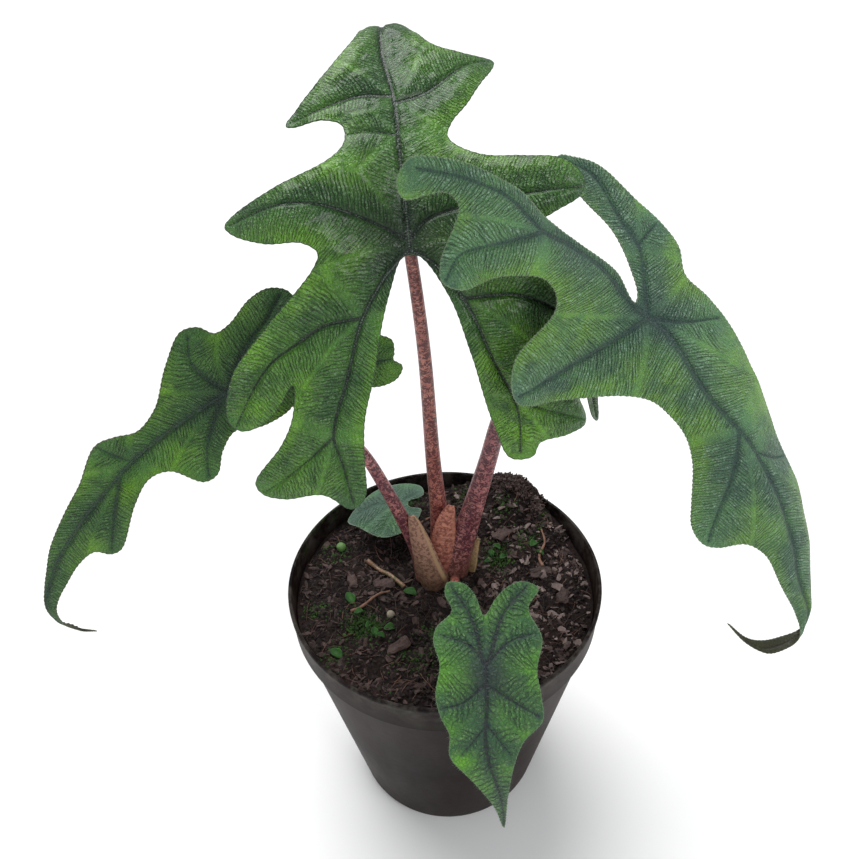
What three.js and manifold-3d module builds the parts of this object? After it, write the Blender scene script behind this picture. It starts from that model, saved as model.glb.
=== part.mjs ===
// A potted alocasia: a plastic nursery pot with potting mix, a short stem, five leaves on
// petioles, old sheaths, and the small things that lie on the mix.
// Millimetres, +Z up. The origin is the centre of the pot's floor, and the front is -Y.
import * as THREE from 'three';
import Module from 'manifold-3d';
import { mergeVertices } from 'three/addons/utils/BufferGeometryUtils.js';

const wasm = await Module();
wasm.setup();

// ---- driving dimensions ----
const potHeight = 139;
const rimRadius = 75;
const baseRadius = 50;
const wall = 1.6;
const floorThickness = 2;
const bandHeight = 17;
const bandStep = 2;
const bandTaper = 1;
const drainHoles = 8;
const drainRadius = 4.5;
const drainCircle = 37;
const roundSteps = 48;

const gap = 0.35;
const layClearance = 0.8;
const soilLevel = 126;
const moundPeak = new THREE.Vector2(36, 57);
const moundHeight = 29;
const moundWidth = 22;

const crown = new THREE.Vector3(-3, 13, 120);
const crownRadius = 12.5;
const crownHeight = 11;

const bladeThickness = 1.2;
const bladeCell = 7;

// ---- materials ----
function material(color, roughness) {
  return new THREE.MeshStandardMaterial({ color, roughness, metalness: 0 });
}

const potPlastic = material(0x2a2325, 0.45);
const mix = material(0x2b2120, 0.95);
const stemSkin = material(0x6b4a3c, 0.7);
const redPetiole = material(0xa0574f, 0.5);
const purplePetiole = material(0x6f3a40, 0.5);
const bladeGloss = material(0x3b7a22, 0.3);
const bladeMatt = material(0x3f7031, 0.5);
const bladeYoung = material(0x5d7f66, 0.6);
const oldSheath = material(0x8a6a4a, 0.75);
const redSheath = material(0xb8705c, 0.55);
const drySheath = material(0xa88458, 0.9);
const moss = material(0x3f5a24, 0.95);
const sprout = material(0x58a02c, 0.6);
const bark = material(0x4a3430, 0.9);
const twig = material(0x8c6f5c, 0.85);
const pelletGreen = material(0xb8cf9a, 0.5);
const granuleBeige = material(0xc8b58e, 0.7);

const plant = new THREE.Group();

function add(name, geometry, surface) {
  const mesh = new THREE.Mesh(geometry, surface);
  mesh.name = name;
  plant.add(mesh);
  return mesh;
}

// ---- solids ----
function toSolid(geometry) {
  const bare = geometry.clone();
  bare.deleteAttribute('normal');
  bare.deleteAttribute('uv');
  const merged = mergeVertices(bare, 1e-4);
  const vertProperties = new Float32Array(merged.attributes.position.array);
  const triVerts = new Uint32Array(merged.index.array);
  return new wasm.Manifold(new wasm.Mesh({ numProp: 3, vertProperties, triVerts }));
}

function fromSolid(solid) {
  const mesh = solid.getMesh();
  const geometry = new THREE.BufferGeometry();
  geometry.setAttribute('position', new THREE.BufferAttribute(mesh.vertProperties, 3));
  geometry.setIndex(new THREE.BufferAttribute(mesh.triVerts, 1));
  return geometry;
}

// A body of revolution about Z from [radius, height] pairs that start and end on the axis.
function turned(profile, steps) {
  const points = profile.map(([radius, height]) => new THREE.Vector2(radius, height));
  return new THREE.LatheGeometry(points, steps).rotateX(Math.PI / 2);
}

// ---- smooth map from the flat leaf to space: a thin plate spline through its pins ----
function kernel(distance) {
  return distance > 0 ? distance * distance * Math.log(distance) : 0;
}

function solve(matrix, columns) {
  const size = matrix.length;
  const rows = matrix.map((row, i) => [...row, ...columns[i]]);
  for (let i = 0; i < size; i++) {
    let best = i;
    for (let j = i + 1; j < size; j++) {
      if (Math.abs(rows[j][i]) > Math.abs(rows[best][i])) best = j;
    }
    [rows[i], rows[best]] = [rows[best], rows[i]];
    for (let j = 0; j < size; j++) {
      if (j === i) continue;
      const factor = rows[j][i] / rows[i][i];
      for (let k = i; k < rows[j].length; k++) rows[j][k] -= factor * rows[i][k];
    }
  }
  return rows.map((row, i) => row.slice(size).map((value) => value / row[i]));
}

function leafMap(pins) {
  const count = pins.length;
  const flat = pins.map(([u, v]) => new THREE.Vector2(u, v));
  const matrix = flat.map((p) => [...flat.map((q) => kernel(p.distanceTo(q))), 1, p.x, p.y]);
  const columns = pins.map(([, , x, y, z]) => [x, y, z]);
  for (const row of [flat.map(() => 1), flat.map((p) => p.x), flat.map((p) => p.y)]) {
    matrix.push([...row, 0, 0, 0]);
    columns.push([0, 0, 0]);
  }
  const weights = solve(matrix, columns);
  return (u, v) => {
    const here = new THREE.Vector2(u, v);
    const terms = [...flat.map((p) => kernel(p.distanceTo(here))), 1, u, v];
    const place = new THREE.Vector3();
    for (let i = 0; i < count + 3; i++) {
      place.add(new THREE.Vector3(...weights[i]).multiplyScalar(terms[i]));
    }
    return place;
  };
}

// Upper-face normal of a mapped leaf.
function leafNormal(map, u, v) {
  const across = map(u + 0.5, v).sub(map(u - 0.5, v));
  const along = map(u, v + 0.5).sub(map(u, v - 0.5));
  return across.cross(along).normalize();
}

// ---- flat triangulation of a leaf outline ----
function inside(outline, x, y) {
  let hit = false;
  for (let i = 0, j = outline.length - 1; i < outline.length; j = i++) {
    const a = outline[i];
    const b = outline[j];
    if (a.y > y !== b.y > y && x < ((b.x - a.x) * (y - a.y)) / (b.y - a.y) + a.x) hit = !hit;
  }
  return hit;
}

function circumcircle(a, b, c) {
  const d = 2 * (a.x * (b.y - c.y) + b.x * (c.y - a.y) + c.x * (a.y - b.y));
  const [a2, b2, c2] = [a, b, c].map((p) => p.lengthSq());
  const x = (a2 * (b.y - c.y) + b2 * (c.y - a.y) + c2 * (a.y - b.y)) / d;
  const y = (a2 * (c.x - b.x) + b2 * (a.x - c.x) + c2 * (b.x - a.x)) / d;
  return { x, y, radiusSq: (a.x - x) ** 2 + (a.y - y) ** 2 };
}

function delaunay(points) {
  const far = 5000;
  const corners = [[-far, -far], [far, -far], [0, far]];
  const all = [...points, ...corners.map(([x, y]) => new THREE.Vector2(x, y))];
  const count = points.length;
  const make = (i, j, k) => ({ ids: [i, j, k], circle: circumcircle(all[i], all[j], all[k]) });
  let triangles = [make(count, count + 1, count + 2)];
  for (let n = 0; n < count; n++) {
    const { x, y } = all[n];
    const hit = (t) => (t.circle.x - x) ** 2 + (t.circle.y - y) ** 2 < t.circle.radiusSq;
    const edges = new Map();
    for (const { ids } of triangles.filter(hit)) {
      for (let k = 0; k < 3; k++) {
        const [a, b] = [ids[k], ids[(k + 1) % 3]];
        if (!edges.delete(`${b},${a}`)) edges.set(`${a},${b}`, [a, b]);
      }
    }
    triangles = triangles.filter((t) => !hit(t));
    for (const [a, b] of edges.values()) triangles.push(make(a, b, n));
  }
  return triangles.map((t) => t.ids).filter((ids) => ids.every((i) => i < count));
}

// Grid points are nudged a little, so that no four of them share a circle.
function leafCells(corners, cell) {
  const curve = new THREE.CatmullRomCurve3(
    corners.map(([u, v]) => new THREE.Vector3(u, v, 0)), true, 'centripetal');
  const edgeCount = Math.round(curve.getLength() / (cell * 0.75));
  const edge = curve.getSpacedPoints(edgeCount).slice(0, -1);
  const outline = edge.map((p) => new THREE.Vector2(p.x, p.y));
  const box = new THREE.Box2().setFromPoints(outline);
  const points = [...outline];
  let row = 0;
  for (let v = box.min.y; v < box.max.y; v += cell * 0.866) {
    row += 1;
    for (let u = box.min.x + (row % 2) * cell * 0.5; u < box.max.x; u += cell) {
      const nudge = 0.02 * cell * Math.sin(u * 3 + v * 5);
      const point = new THREE.Vector2(u + nudge, v - nudge);
      const clear = outline.every((p) => p.distanceTo(point) > cell * 0.6);
      if (clear && inside(outline, point.x, point.y)) points.push(point);
    }
  }
  const triangles = delaunay(points).filter((ids) => {
    const middle = new THREE.Vector2();
    for (const i of ids) middle.add(points[i]);
    return inside(outline, middle.x / 3, middle.y / 3);
  });
  return { points, triangles };
}

// ---- blade: a thin closed solid between the upper face and a face one thickness below it ----
function bladeGeometry(leaf) {
  const { points, triangles } = leafCells(leaf.outline, leaf.cell);
  const count = points.length;
  const places = [];
  for (const depth of [0, bladeThickness]) {
    for (const p of points) {
      const down = leafNormal(leaf.map, p.x, p.y).multiplyScalar(-depth);
      places.push(leaf.map(p.x, p.y).add(down));
    }
  }
  const faces = [];
  const open = new Map();
  for (const [i, j, k] of triangles) {
    faces.push(i, j, k, k + count, j + count, i + count);
    for (const [a, b] of [[i, j], [j, k], [k, i]]) {
      if (!open.delete(`${b},${a}`)) open.set(`${a},${b}`, [a, b]);
    }
  }
  for (const [a, b] of open.values()) {
    faces.push(b, a, a + count, b, a + count, b + count);
  }
  const geometry = new THREE.BufferGeometry().setFromPoints(places);
  geometry.setIndex(faces);
  return geometry;
}

// ---- tapered stalk: a capped cylinder bent along a curve ----
function stalk(path, thickAt, sides = 10, steps = 16) {
  const curve = new THREE.CatmullRomCurve3(path, false, 'centripetal');
  const frames = curve.computeFrenetFrames(steps, false);
  const geometry = new THREE.CylinderGeometry(1, 1, steps, sides, steps);
  const position = geometry.attributes.position;
  for (let i = 0; i < position.count; i++) {
    const level = Math.round(position.getY(i) + steps / 2);
    const t = level / steps;
    const place = curve.getPointAt(t);
    place.addScaledVector(frames.normals[level], position.getZ(i) * thickAt(t));
    place.addScaledVector(frames.binormals[level], position.getX(i) * thickAt(t));
    position.setXYZ(i, place.x, place.y, place.z);
  }
  return geometry;
}

// ---- sheath: a thin strip, curved across, along a path, narrowing to a rounded tip ----
function sheath(path, facing, halfWidth, curl, thickness) {
  const curve = new THREE.CatmullRomCurve3(path, false, 'centripetal');
  const steps = 10;
  const strips = 6;
  const geometry = new THREE.BoxGeometry(2, steps, 1, strips, steps, 1);
  const position = geometry.attributes.position;
  for (let i = 0; i < position.count; i++) {
    const t = position.getY(i) / steps + 0.5;
    const side = position.getX(i);
    const tangent = curve.getTangentAt(t);
    const across = new THREE.Vector3().crossVectors(tangent, facing).normalize();
    const out = new THREE.Vector3().crossVectors(across, tangent).normalize();
    const width = halfWidth * (0.25 + 0.75 * Math.sqrt(Math.max(0, 1 - t ** 3)));
    const place = curve.getPointAt(t);
    place.addScaledVector(across, side * width);
    place.addScaledVector(out, position.getZ(i) * thickness - curl * side * side);
    position.setXYZ(i, place.x, place.y, place.z);
  }
  return geometry;
}

// ---- pot ----
const bandBottom = potHeight - bandHeight;
const wallTopRadius = rimRadius - bandTaper - bandStep;

function innerRadius(z) {
  const t = Math.min(z / bandBottom, 1);
  return baseRadius + (wallTopRadius - baseRadius) * t - wall;
}

function potGeometry() {
  const chamfer = 1.5;
  const profile = [
    [0, 0],
    [baseRadius - chamfer, 0],
    [baseRadius, chamfer],
    [wallTopRadius, bandBottom],
    [rimRadius - bandTaper, bandBottom + 1],
    [rimRadius, potHeight - 0.5],
    [rimRadius - 0.6, potHeight],
    [rimRadius - wall, potHeight],
    [rimRadius - bandTaper - wall, bandBottom + 3],
    [innerRadius(bandBottom), bandBottom],
    [innerRadius(floorThickness), floorThickness],
    [0, floorThickness],
  ];
  let pot = toSolid(turned(profile, roundSteps));
  for (let i = 0; i < drainHoles; i++) {
    const angle = ((i + 0.5) / drainHoles) * 2 * Math.PI;
    const drill = new THREE.CylinderGeometry(drainRadius, drainRadius, 3 * floorThickness, 16);
    drill.rotateX(Math.PI / 2);
    drill.translate(drainCircle * Math.cos(angle), drainCircle * Math.sin(angle), 0);
    pot = pot.subtract(toSolid(drill));
  }
  return fromSolid(pot);
}

add('pot', potGeometry(), potPlastic);

// ---- potting mix, heaped over the rim at the back right ----
function lumps(x, y) {
  return 0.7 * Math.sin(x * 0.21 + 1.7) * Math.cos(y * 0.17) + 0.6 * Math.sin(x * 0.13 - y * 0.19);
}

const shoulder = bandBottom + 3 + gap;

function soilHeight(x, y) {
  const away = Math.hypot(x - moundPeak.x, y - moundPeak.y);
  const heap = moundHeight * Math.exp(-((away / moundWidth) ** 2));
  return Math.max(soilLevel + heap + lumps(x, y), shoulder);
}

function soilNormal(x, y) {
  const slopeX = (soilHeight(x + 2, y) - soilHeight(x - 2, y)) / 4;
  const slopeY = (soilHeight(x, y + 2) - soilHeight(x, y - 2)) / 4;
  return new THREE.Vector3(-slopeX, -slopeY, 1).normalize();
}

function soilGeometry() {
  const bottom = floorThickness + gap;
  const edge = rimRadius - bandTaper - wall - gap;
  const rings = [64, 55, 46, 37, 28, 19, 10, 0];
  const profile = [
    [0, bottom],
    [innerRadius(bottom) - gap, bottom],
    [innerRadius(bandBottom) - gap, bandBottom],
    [edge, shoulder],
    ...rings.map((radius) => [radius, potHeight]),
  ];
  const geometry = turned(profile, roundSteps);
  const position = geometry.attributes.position;
  for (let i = 0; i < position.count; i++) {
    if (position.getZ(i) < shoulder) continue;
    const x = position.getX(i);
    const y = position.getY(i);
    position.setZ(i, soilHeight(x, y));
  }
  const well = new THREE.CylinderGeometry(crownRadius + gap, crownRadius + gap, 60, 24);
  well.rotateX(Math.PI / 2);
  well.translate(crown.x, crown.y, crown.z + 30 - gap);
  return fromSolid(toSolid(geometry).subtract(toSolid(well)));
}

add('soil', soilGeometry(), mix);

// ---- short stem that the petioles rise from ----
const crownProfile = [
  [0, 0],
  [crownRadius - 2, 0],
  [crownRadius, 4],
  [crownRadius - 1.5, crownHeight - 2],
  [crownRadius - 4, crownHeight],
  [0, crownHeight],
];
const stemBase = add('stem_base', turned(crownProfile, 20), stemSkin);
stemBase.position.copy(crown);
const crownTop = crown.z + crownHeight + gap;

// ---- leaves ----
// outline: the flat blade in millimetres. The petiole joins at 0,0 and the tip is at +v.
// pins: where points u,v of the flat blade stand in space, as u,v, x,y,z.
const centreLeaf = {
  cell: bladeCell,
  outline: [
    // tip, then down the side of lower u
    [0, 158], [-4, 142], [-7, 126], [-9, 112], [-10, 99], [-13, 86], [-36, 60], [-41, 53],
    [-26, 51], [-20, 48], [-20, 40], [-26, 34], [-44, 28], [-62, 21], [-69, 16], [-66, 12],
    [-53, 7], [-39, 6], [-34, 2], [-36, -3],
    // hind lobe with two lobules
    [-56, -23], [-71, -41], [-75, -58], [-71, -62], [-64, -61], [-57, -56], [-49, -46],
    [-51, -58], [-57, -69], [-69, -83], [-67, -88], [-59, -91], [-44, -91], [-34, -98],
    [-28, -94], [-26, -80], [-24, -62], [-18, -44], [-9, -14],
    // notch at the petiole, then the other hind lobe
    [-3, -3], [3, -3], [12, -18], [18, -42], [25, -70], [31, -85], [40, -86], [43, -81],
    [55, -80], [66, -76], [64, -66], [57, -54], [54, -43], [64, -49], [73, -61], [79, -74],
    [85, -76], [88, -68], [85, -52], [76, -36], [61, -21], [44, -10], [38, -3], [43, 2],
    [54, 7], [64, 12], [66, 18], [59, 26], [44, 29], [27, 32], [18, 40], [20, 46],
    [30, 57], [43, 77], [30, 82], [18, 88], [12, 98], [10, 112], [8, 127], [4, 142],
  ],
  pins: [
    // midrib, over the top and down behind
    [0, 0, -10, 10, 303], [0, 16, -11, 18, 317], [0, 36, -13, 30, 333], [0, 60, -15, 50, 347],
    [0, 84, -18, 71, 358], [0, 98, -18, 84, 363], [0, 112, -19, 98, 359],
    [0, 128, -20, 112, 352], [0, 143, -20, 123, 342], [0, 157, -20, 128, 329],
    [-14, 112, -33, 95, 356], [14, 112, -5, 97, 358],
    [-9, 132, -29, 114, 349], [9, 132, -11, 115, 350],
    // front lobes
    [-14, 86, -32, 68, 361], [18, 86, -1, 75, 358],
    [-20, 58, -35, 45, 345], [-38, 54, -52, 41, 340], [22, 66, 5, 58, 349], [42, 76, 23, 71, 352],
    // waist and side lobes
    [-20, 42, -33, 31, 337], [18, 42, 5, 37, 336], [-26, 34, -38, 24, 332], [26, 30, 14, 27, 330],
    [-22, 12, -32, 14, 313], [-45, 20, -55, 13, 320], [-68, 16, -77, 16, 311], [-40, 4, -49, 3, 307],
    [22, 12, 11, 17, 315], [44, 16, 32, 16, 322], [66, 16, 54, 18, 323], [42, 2, 31, 8, 310],
    // hind lobe of lower u
    [-14, -14, -22, 2, 291], [-20, -24, -28, -3, 282], [-45, -30, -52, -8, 275],
    [-70, -44, -76, -17, 263], [-72, -58, -77, -22, 250], [-50, -47, -56, -16, 260],
    [-28, -46, -34, -13, 261], [-37, -68, -41, -23, 241], [-66, -87, -69, -31, 222],
    [-27, -74, -31, -25, 237], [-34, -96, -36, -33, 216], [-50, -86, -53, -30, 224],
    // hind lobe of upper u
    [12, -14, 3, 2, 293], [18, -22, 10, -1, 286], [40, -24, 31, 3, 285], [56, -28, 47, 5, 280],
    [72, -42, 58, 7, 263], [83, -66, 63, 6, 236],
    [28, -48, 22, -9, 263], [16, -42, 10, -10, 269], [46, -50, 39, -5, 260],
    [33, -62, 28, -13, 250], [62, -74, 56, -8, 237], [24, -66, 19, -16, 246], [35, -84, 31, -20, 229],
  ],
};

const rightLeaf = {
  cell: bladeCell,
  outline: [
    [20, 204], [21, 190], [21, 178], [21, 166], [20, 155], [17, 146], [9, 139], [1, 127],
    [-6, 112], [-15, 96], [-22, 66], [-27, 33], [-26, 13], [-23, -2], [-28, -12], [-29, -24],
    [-28, -36], [-25, -55], [-20, -64], [-14, -70], [-9, -66], [-9, -52], [-10, -40],
    [-8, -28], [-3, -10],
    // notch, then the broad hind lobe
    [0, -8], [0, -22], [6, -40], [14, -60], [18, -74], [28, -90], [36, -98], [46, -104],
    [55, -100], [56, -94], [42, -88], [41, -82], [56, -68], [59, -62], [54, -56], [42, -54],
    [33, -49], [27, -43], [26, -36], [30, -30], [52, -27], [60, -21], [62, -14], [57, -7],
    // side lobe's lower edge, then the side with the tooth
    [40, 7], [26, 18], [19, 27], [17, 37], [18, 46], [23, 57], [34, 72], [40, 81], [41, 90],
    [37, 95], [27, 100], [23, 108], [23, 118], [26, 132], [28, 146], [29, 158], [29, 170], [27, 182],
    [24, 193],
  ],
  pins: [
    [0, 0, 80, 4, 275], [0, 20, 92, -5, 263], [0, 40, 105, -13, 249], [0, 60, 118, -21, 236],
    [4, 90, 133, -30, 211], [12, 114, 142, -37, 189], [18, 134, 149, -41, 169],
    [23, 150, 154, -45, 154], [27, 146, 150, -45, 156], [18, 146, 156, -42, 158],
    // the thin tip turns over and curls inwards
    [24, 158, 154, -45, 145], [29, 168, 153, -43, 133], [21, 168, 150, -38, 134],
    [27, 180, 147, -38, 122], [21, 180, 144, -33, 125], [23, 192, 137, -31, 124],
    [20, 203, 130, -28, 131],
    // outer side
    [-24, 20, 109, 8, 272], [-26, 44, 124, 3, 253], [-19, 78, 137, -9, 225],
    [-8, 110, 150, -22, 198],
    // inner side
    [18, 36, 89, -13, 240], [20, 54, 100, -19, 227], [40, 86, 105, -31, 192],
    [26, 102, 125, -36, 190], [23, 120, 137, -41, 178],
    // side lobe
    [20, -2, 63, -3, 266], [40, -6, 46, -12, 261], [60, -14, 29, -26, 260],
    [24, 20, 74, -11, 249], [34, -28, 40, -12, 283], [44, 4, 44, -17, 252],
    // hind lobes
    [-8, -16, 76, 12, 290], [-20, -30, 76, 23, 305], [-27, -14, 91, 21, 297],
    [-28, -36, 77, 30, 311], [-9, -44, 59, 22, 310], [-22, -56, 60, 33, 323],
    [-14, -68, 47, 32, 327],
    [6, -30, 60, 2, 297], [16, -54, 40, -3, 313], [-1, -16, 71, 7, 288], [28, -40, 38, -9, 296],
    [40, -60, 18, -12, 308], [57, -62, 3, -15, 303], [24, -76, 24, -8, 329],
    [14, -64, 36, -1, 322], [34, -92, 8, -10, 339], [46, -102, -7, -8, 341],
    [54, -94, -9, -8, 330],
  ],
};

const leftLeaf = {
  cell: bladeCell - 1,
  outline: [
    [-28, 157], [-25, 145], [-23, 132], [-20, 121], [-15, 114], [-9, 107], [-1, 96], [5, 82],
    [11, 68], [20, 50], [17, 43], [12, 36], [14, 25], [24, 9], [30, -4], [27, -10],
    [21, -13], [20, -19], [22, -32], [20, -41], [14, -46], [8, -44], [5, -36], [3, -22],
    // notch, then the narrow hind lobe
    [2, -9], [0, -9], [-1, -20], [-8, -36], [-15, -50], [-24, -64], [-31, -63], [-38, -58],
    [-38, -52], [-30, -40], [-20, -23], [-21, -12], [-19, -1], [-14, 8], [-17, 17],
    [-23, 25], [-22, 31], [-10, 38], [-7, 46], [-11, 58], [-21, 75], [-20, 80],
    [-15, 85], [-15, 94], [-19, 106], [-24, 119], [-27, 132], [-29, 145],
  ],
  pins: [
    [0, 0, -85, 0, 248], [2, 24, -105, -8, 237], [3, 50, -126, -18, 225], [0, 72, -141, -27, 212],
    [-4, 88, -151, -33, 200], [-12, 104, -159, -38, 185], [-20, 118, -165, -43, 171],
    // the thin tip curls inwards
    [-24, 131, -164, -42, 160], [-27, 144, -161, -38, 150], [-28, 156, -156, -34, 144],
    // upper side
    [14, 10, -101, -3, 254], [28, -6, -96, 3, 274], [18, 36, -122, -15, 245],
    [21, 50, -133, -23, 241], [12, 68, -143, -28, 224], [6, 84, -153, -33, 211],
    [-8, 108, -164, -40, 186],
    // lower side
    [-14, 12, -86, -9, 232], [-22, 28, -94, -17, 218], [-9, 44, -114, -21, 221],
    [-12, 62, -126, -28, 209], [-20, 78, -134, -34, 194], [-16, 94, -149, -36, 188],
    [-18, -8, -68, -2, 238],
    // hind lobes
    [8, -14, -79, 6, 261], [12, -30, -69, 13, 272], [16, -44, -62, 22, 281],
    [20, -24, -78, 11, 276], [4, -38, -58, 16, 270],
    [-8, -16, -68, 3, 250], [-16, -34, -49, 5, 254], [-26, -50, -30, 8, 254],
    [-30, -62, -18, 10, 258], [-20, -20, -57, 1, 243], [-37, -56, -19, 9, 249],
    [-8, -36, -52, 8, 261],
  ],
};

const frontLeaf = {
  cell: bladeCell - 1,
  outline: [
    [-11, 78], [-11, 59], [-12, 45], [-16, 31], [-24, 22], [-23, 12], [-21, 2], [-23, -11],
    [-18, -23], [-23, -32], [-16, -35], [-9, -32], [-4, -27],
    [1, -20], [5, -29], [10, -34], [17, -34], [18, -29], [15, -22], [21, -15], [22, -9],
    [19, 1], [21, 13], [19, 21], [15, 28], [14, 37], [6, 47], [-5, 63],
  ],
  pins: [
    [0, 0, 16, -64, 154], [0, 16, 16, -75, 143], [0, 32, 15, -85, 130], [-4, 48, 18, -92, 116],
    [-9, 62, 22, -95, 102], [-11, 76, 23, -97, 88],
    [18, 2, -2, -64, 153], [20, 20, -4, -77, 140], [12, 40, 2, -89, 124],
    [-20, 4, 36, -66, 149], [-23, 20, 38, -77, 137], [-14, 38, 28, -88, 124],
    [10, -12, 7, -53, 159], [16, -33, 2, -34, 169], [20, -14, -3, -51, 161], [8, -32, 10, -35, 168],
    [-11, -12, 28, -53, 159], [-20, -32, 37, -35, 167], [-20, -14, 37, -52, 160],
    [-9, -30, 26, -37, 167], [0, -18, 17, -48, 163],
  ],
};

const backLeaf = {
  cell: bladeCell - 2,
  outline: [
    [0, 29], [-8, 22], [-15, 12], [-18, 0], [-15, -10], [-7, -13], [-2, -5],
    [2, -5], [7, -13], [15, -11], [18, 0], [15, 12], [8, 22],
  ],
  pins: [
    [0, 0, -22, 40, 148], [0, 14, -35, 40, 147], [0, 28, -48, 34, 143],
    [14, 6, -27, 53, 147], [-14, 6, -29, 25, 143], [8, -12, -11, 46, 149], [-8, -12, -12, 34, 148],
  ],
};

const leaves = {
  centre: { leaf: centreLeaf, surface: bladeGloss },
  right: { leaf: rightLeaf, surface: bladeMatt },
  left: { leaf: leftLeaf, surface: bladeMatt },
  front: { leaf: frontLeaf, surface: bladeMatt },
  back: { leaf: backLeaf, surface: bladeYoung },
};

for (const [name, { leaf, surface }] of Object.entries(leaves)) {
  leaf.map = leafMap(leaf.pins);
  add(`blade_${name}`, bladeGeometry(leaf), surface);
}

// ---- petioles, each ending just under its blade ----
// route: points from the stem to the bend. low and high are the radii at its two ends.
const petioles = {
  centre: {
    route: [[-1, 21, crownTop + 0.6], [-2, 20, 160], [-4, 20, 193], [-6, 17, 250], [-8, 14, 280]],
    low: 3.8,
    high: 2.3,
    surface: redPetiole,
  },
  right: {
    route: [[4, 13, crownTop + 1.5], [14, 16, 165], [21, 16, 196], [26, 16, 220], [36, 17, 248],
      [53, 17, 270], [68, 15, 276]],
    low: 4.7,
    high: 2.5,
    surface: purplePetiole,
  },
  left: {
    route: [[-10, 9, crownTop + 1.8], [-13, 12, 145], [-20, 13, 165], [-27, 13, 185], [-35, 13, 204],
      [-47, 12, 222], [-62, 10, 236], [-75, 9, 243]],
    low: 3.4,
    high: 2.1,
    surface: purplePetiole,
  },
  front: {
    route: [[5, 3.5, crownTop + 1], [5, -8, 141], [7, -27, 147], [12, -48, 149]],
    low: 1.9,
    high: 1.4,
    surface: redPetiole,
  },
  back: {
    route: [[-10, 18, crownTop + 1.4], [-13, 25, 137], [-17, 34, 142]],
    low: 1.6,
    high: 1.2,
    surface: redPetiole,
  },
};

for (const [name, { route, low, high, surface }] of Object.entries(petioles)) {
  const { map } = leaves[name].leaf;
  const normal = leafNormal(map, 0, 0);
  const end = map(0, 0).addScaledVector(normal, -(bladeThickness + high + gap));
  const path = [...route.map((p) => new THREE.Vector3(...p)), end];
  add(`petiole_${name}`, stalk(path, (t) => low + (high - low) * t ** 0.8), surface);
}

// ---- sheaths at the foot of the petioles ----
const toFront = new THREE.Vector3(0, -1, 0.25);
const at = (x, y, z) => new THREE.Vector3(x, y, z);
const oldPath = [at(-5, -1, 132), at(-6, 1, 139), at(-8, 6, 149), at(-12, 11, 159)];
add('sheath_old', sheath(oldPath, toFront, 4.2, 1.2, 1.2), oldSheath);
const redPath = [at(-2.5, 6.5, 133), at(-2.5, 9, 145), at(0, 12, 157), at(4, 15, 169)];
add('sheath_red', sheath(redPath, toFront, 3.2, 0.8, 1.2), redSheath);
const flapPath = [at(14, 10, 133), at(15, 12, 139), at(17, 15, 146)];
add('sheath_flap', sheath(flapPath, toFront, 1.8, 0.4, 0.8), drySheath);

// ---- small things that lie on the mix ----
// Sets a mesh on the mix at x, y, its own +Z along the slope's normal and turned by yaw degrees,
// then raises it until its lowest corner is clear.
function lay(mesh, x, y, yaw) {
  const up = new THREE.Vector3(0, 0, 1);
  const tilt = new THREE.Quaternion().setFromUnitVectors(up, soilNormal(x, y));
  const turn = new THREE.Quaternion().setFromAxisAngle(up, THREE.MathUtils.degToRad(yaw));
  mesh.quaternion.copy(tilt.multiply(turn));
  mesh.position.set(x, y, 0);
  mesh.updateMatrixWorld();
  const corner = new THREE.Vector3();
  let rise = 0;
  for (let i = 0; i < mesh.geometry.attributes.position.count; i++) {
    corner.fromBufferAttribute(mesh.geometry.attributes.position, i).applyMatrix4(mesh.matrixWorld);
    rise = Math.max(rise, soilHeight(corner.x, corner.y) - corner.z);
  }
  mesh.position.z = rise + layClearance;
}

const chips = [
  // x, y, yaw, length, width, thickness
  [48, 8, 20, 13, 7, 3],
  [57, -8, 70, 10, 6, 3],
  [38, -6, 140, 12, 6, 3],
  [30, 30, 50, 11, 7, 3],
  [-30, 2, 10, 11, 6, 3],
  [-46, 6, 100, 9, 5, 2.5],
  [-22, -34, 30, 12, 6, 3],
  [40, -32, 120, 11, 7, 3],
];
chips.forEach(([x, y, yaw, length, width, thickness], i) => {
  const chip = new THREE.IcosahedronGeometry(0.5, 0).scale(length, width, thickness);
  lay(add(`bark_chip_${i + 1}`, chip, bark), x, y, yaw);
});

const twigs = [
  // x, y, yaw, length, radius
  [-36, -8, 35, 24, 0.7],
  [20, -20, 160, 20, 0.6],
  [50, 22, 80, 22, 0.7],
  [-10, 46, 20, 18, 0.6],
];
twigs.forEach(([x, y, yaw, length, radius], i) => {
  const stick = new THREE.CylinderGeometry(radius, radius * 0.7, length, 6).rotateZ(Math.PI / 2);
  lay(add(`twig_${i + 1}`, stick, twig), x, y, yaw);
});

const fallen = new THREE.CylinderGeometry(1.1, 0.9, 26, 8).rotateZ(Math.PI / 2);
lay(add('fallen_stem', fallen, redSheath), -29, 9, -42);

function dome(radius, height) {
  return turned([[0, 0], [radius, 0], [radius * 0.8, height * 0.6], [0, height]], 12);
}
lay(add('moss_left', dome(8, 2.5), moss), -38, -22, 0);
lay(add('moss_back', dome(7, 2.5), moss), -22, 58, 0);
lay(add('moss_right', dome(6, 2.5), moss), 27, 18, 0);

const sprouts = [
  // x, y, yaw, length
  [-46, -6, 30, 9],
  [-26, -24, 110, 8],
  [-50, -38, 60, 9],
  [46, 24, 140, 8],
  [-17, -2, 80, 9],
];
sprouts.forEach(([x, y, yaw, length], i) => {
  const outline = new THREE.Shape().absellipse(0, 0, length / 2, length / 3.4, 0, 2 * Math.PI);
  const plate = { depth: 0.7, bevelEnabled: false, curveSegments: 6 };
  const leaflet = new THREE.ExtrudeGeometry(outline, plate);
  lay(add(`sprout_${i + 1}`, leaflet, sprout), x, y, yaw);
});

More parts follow.
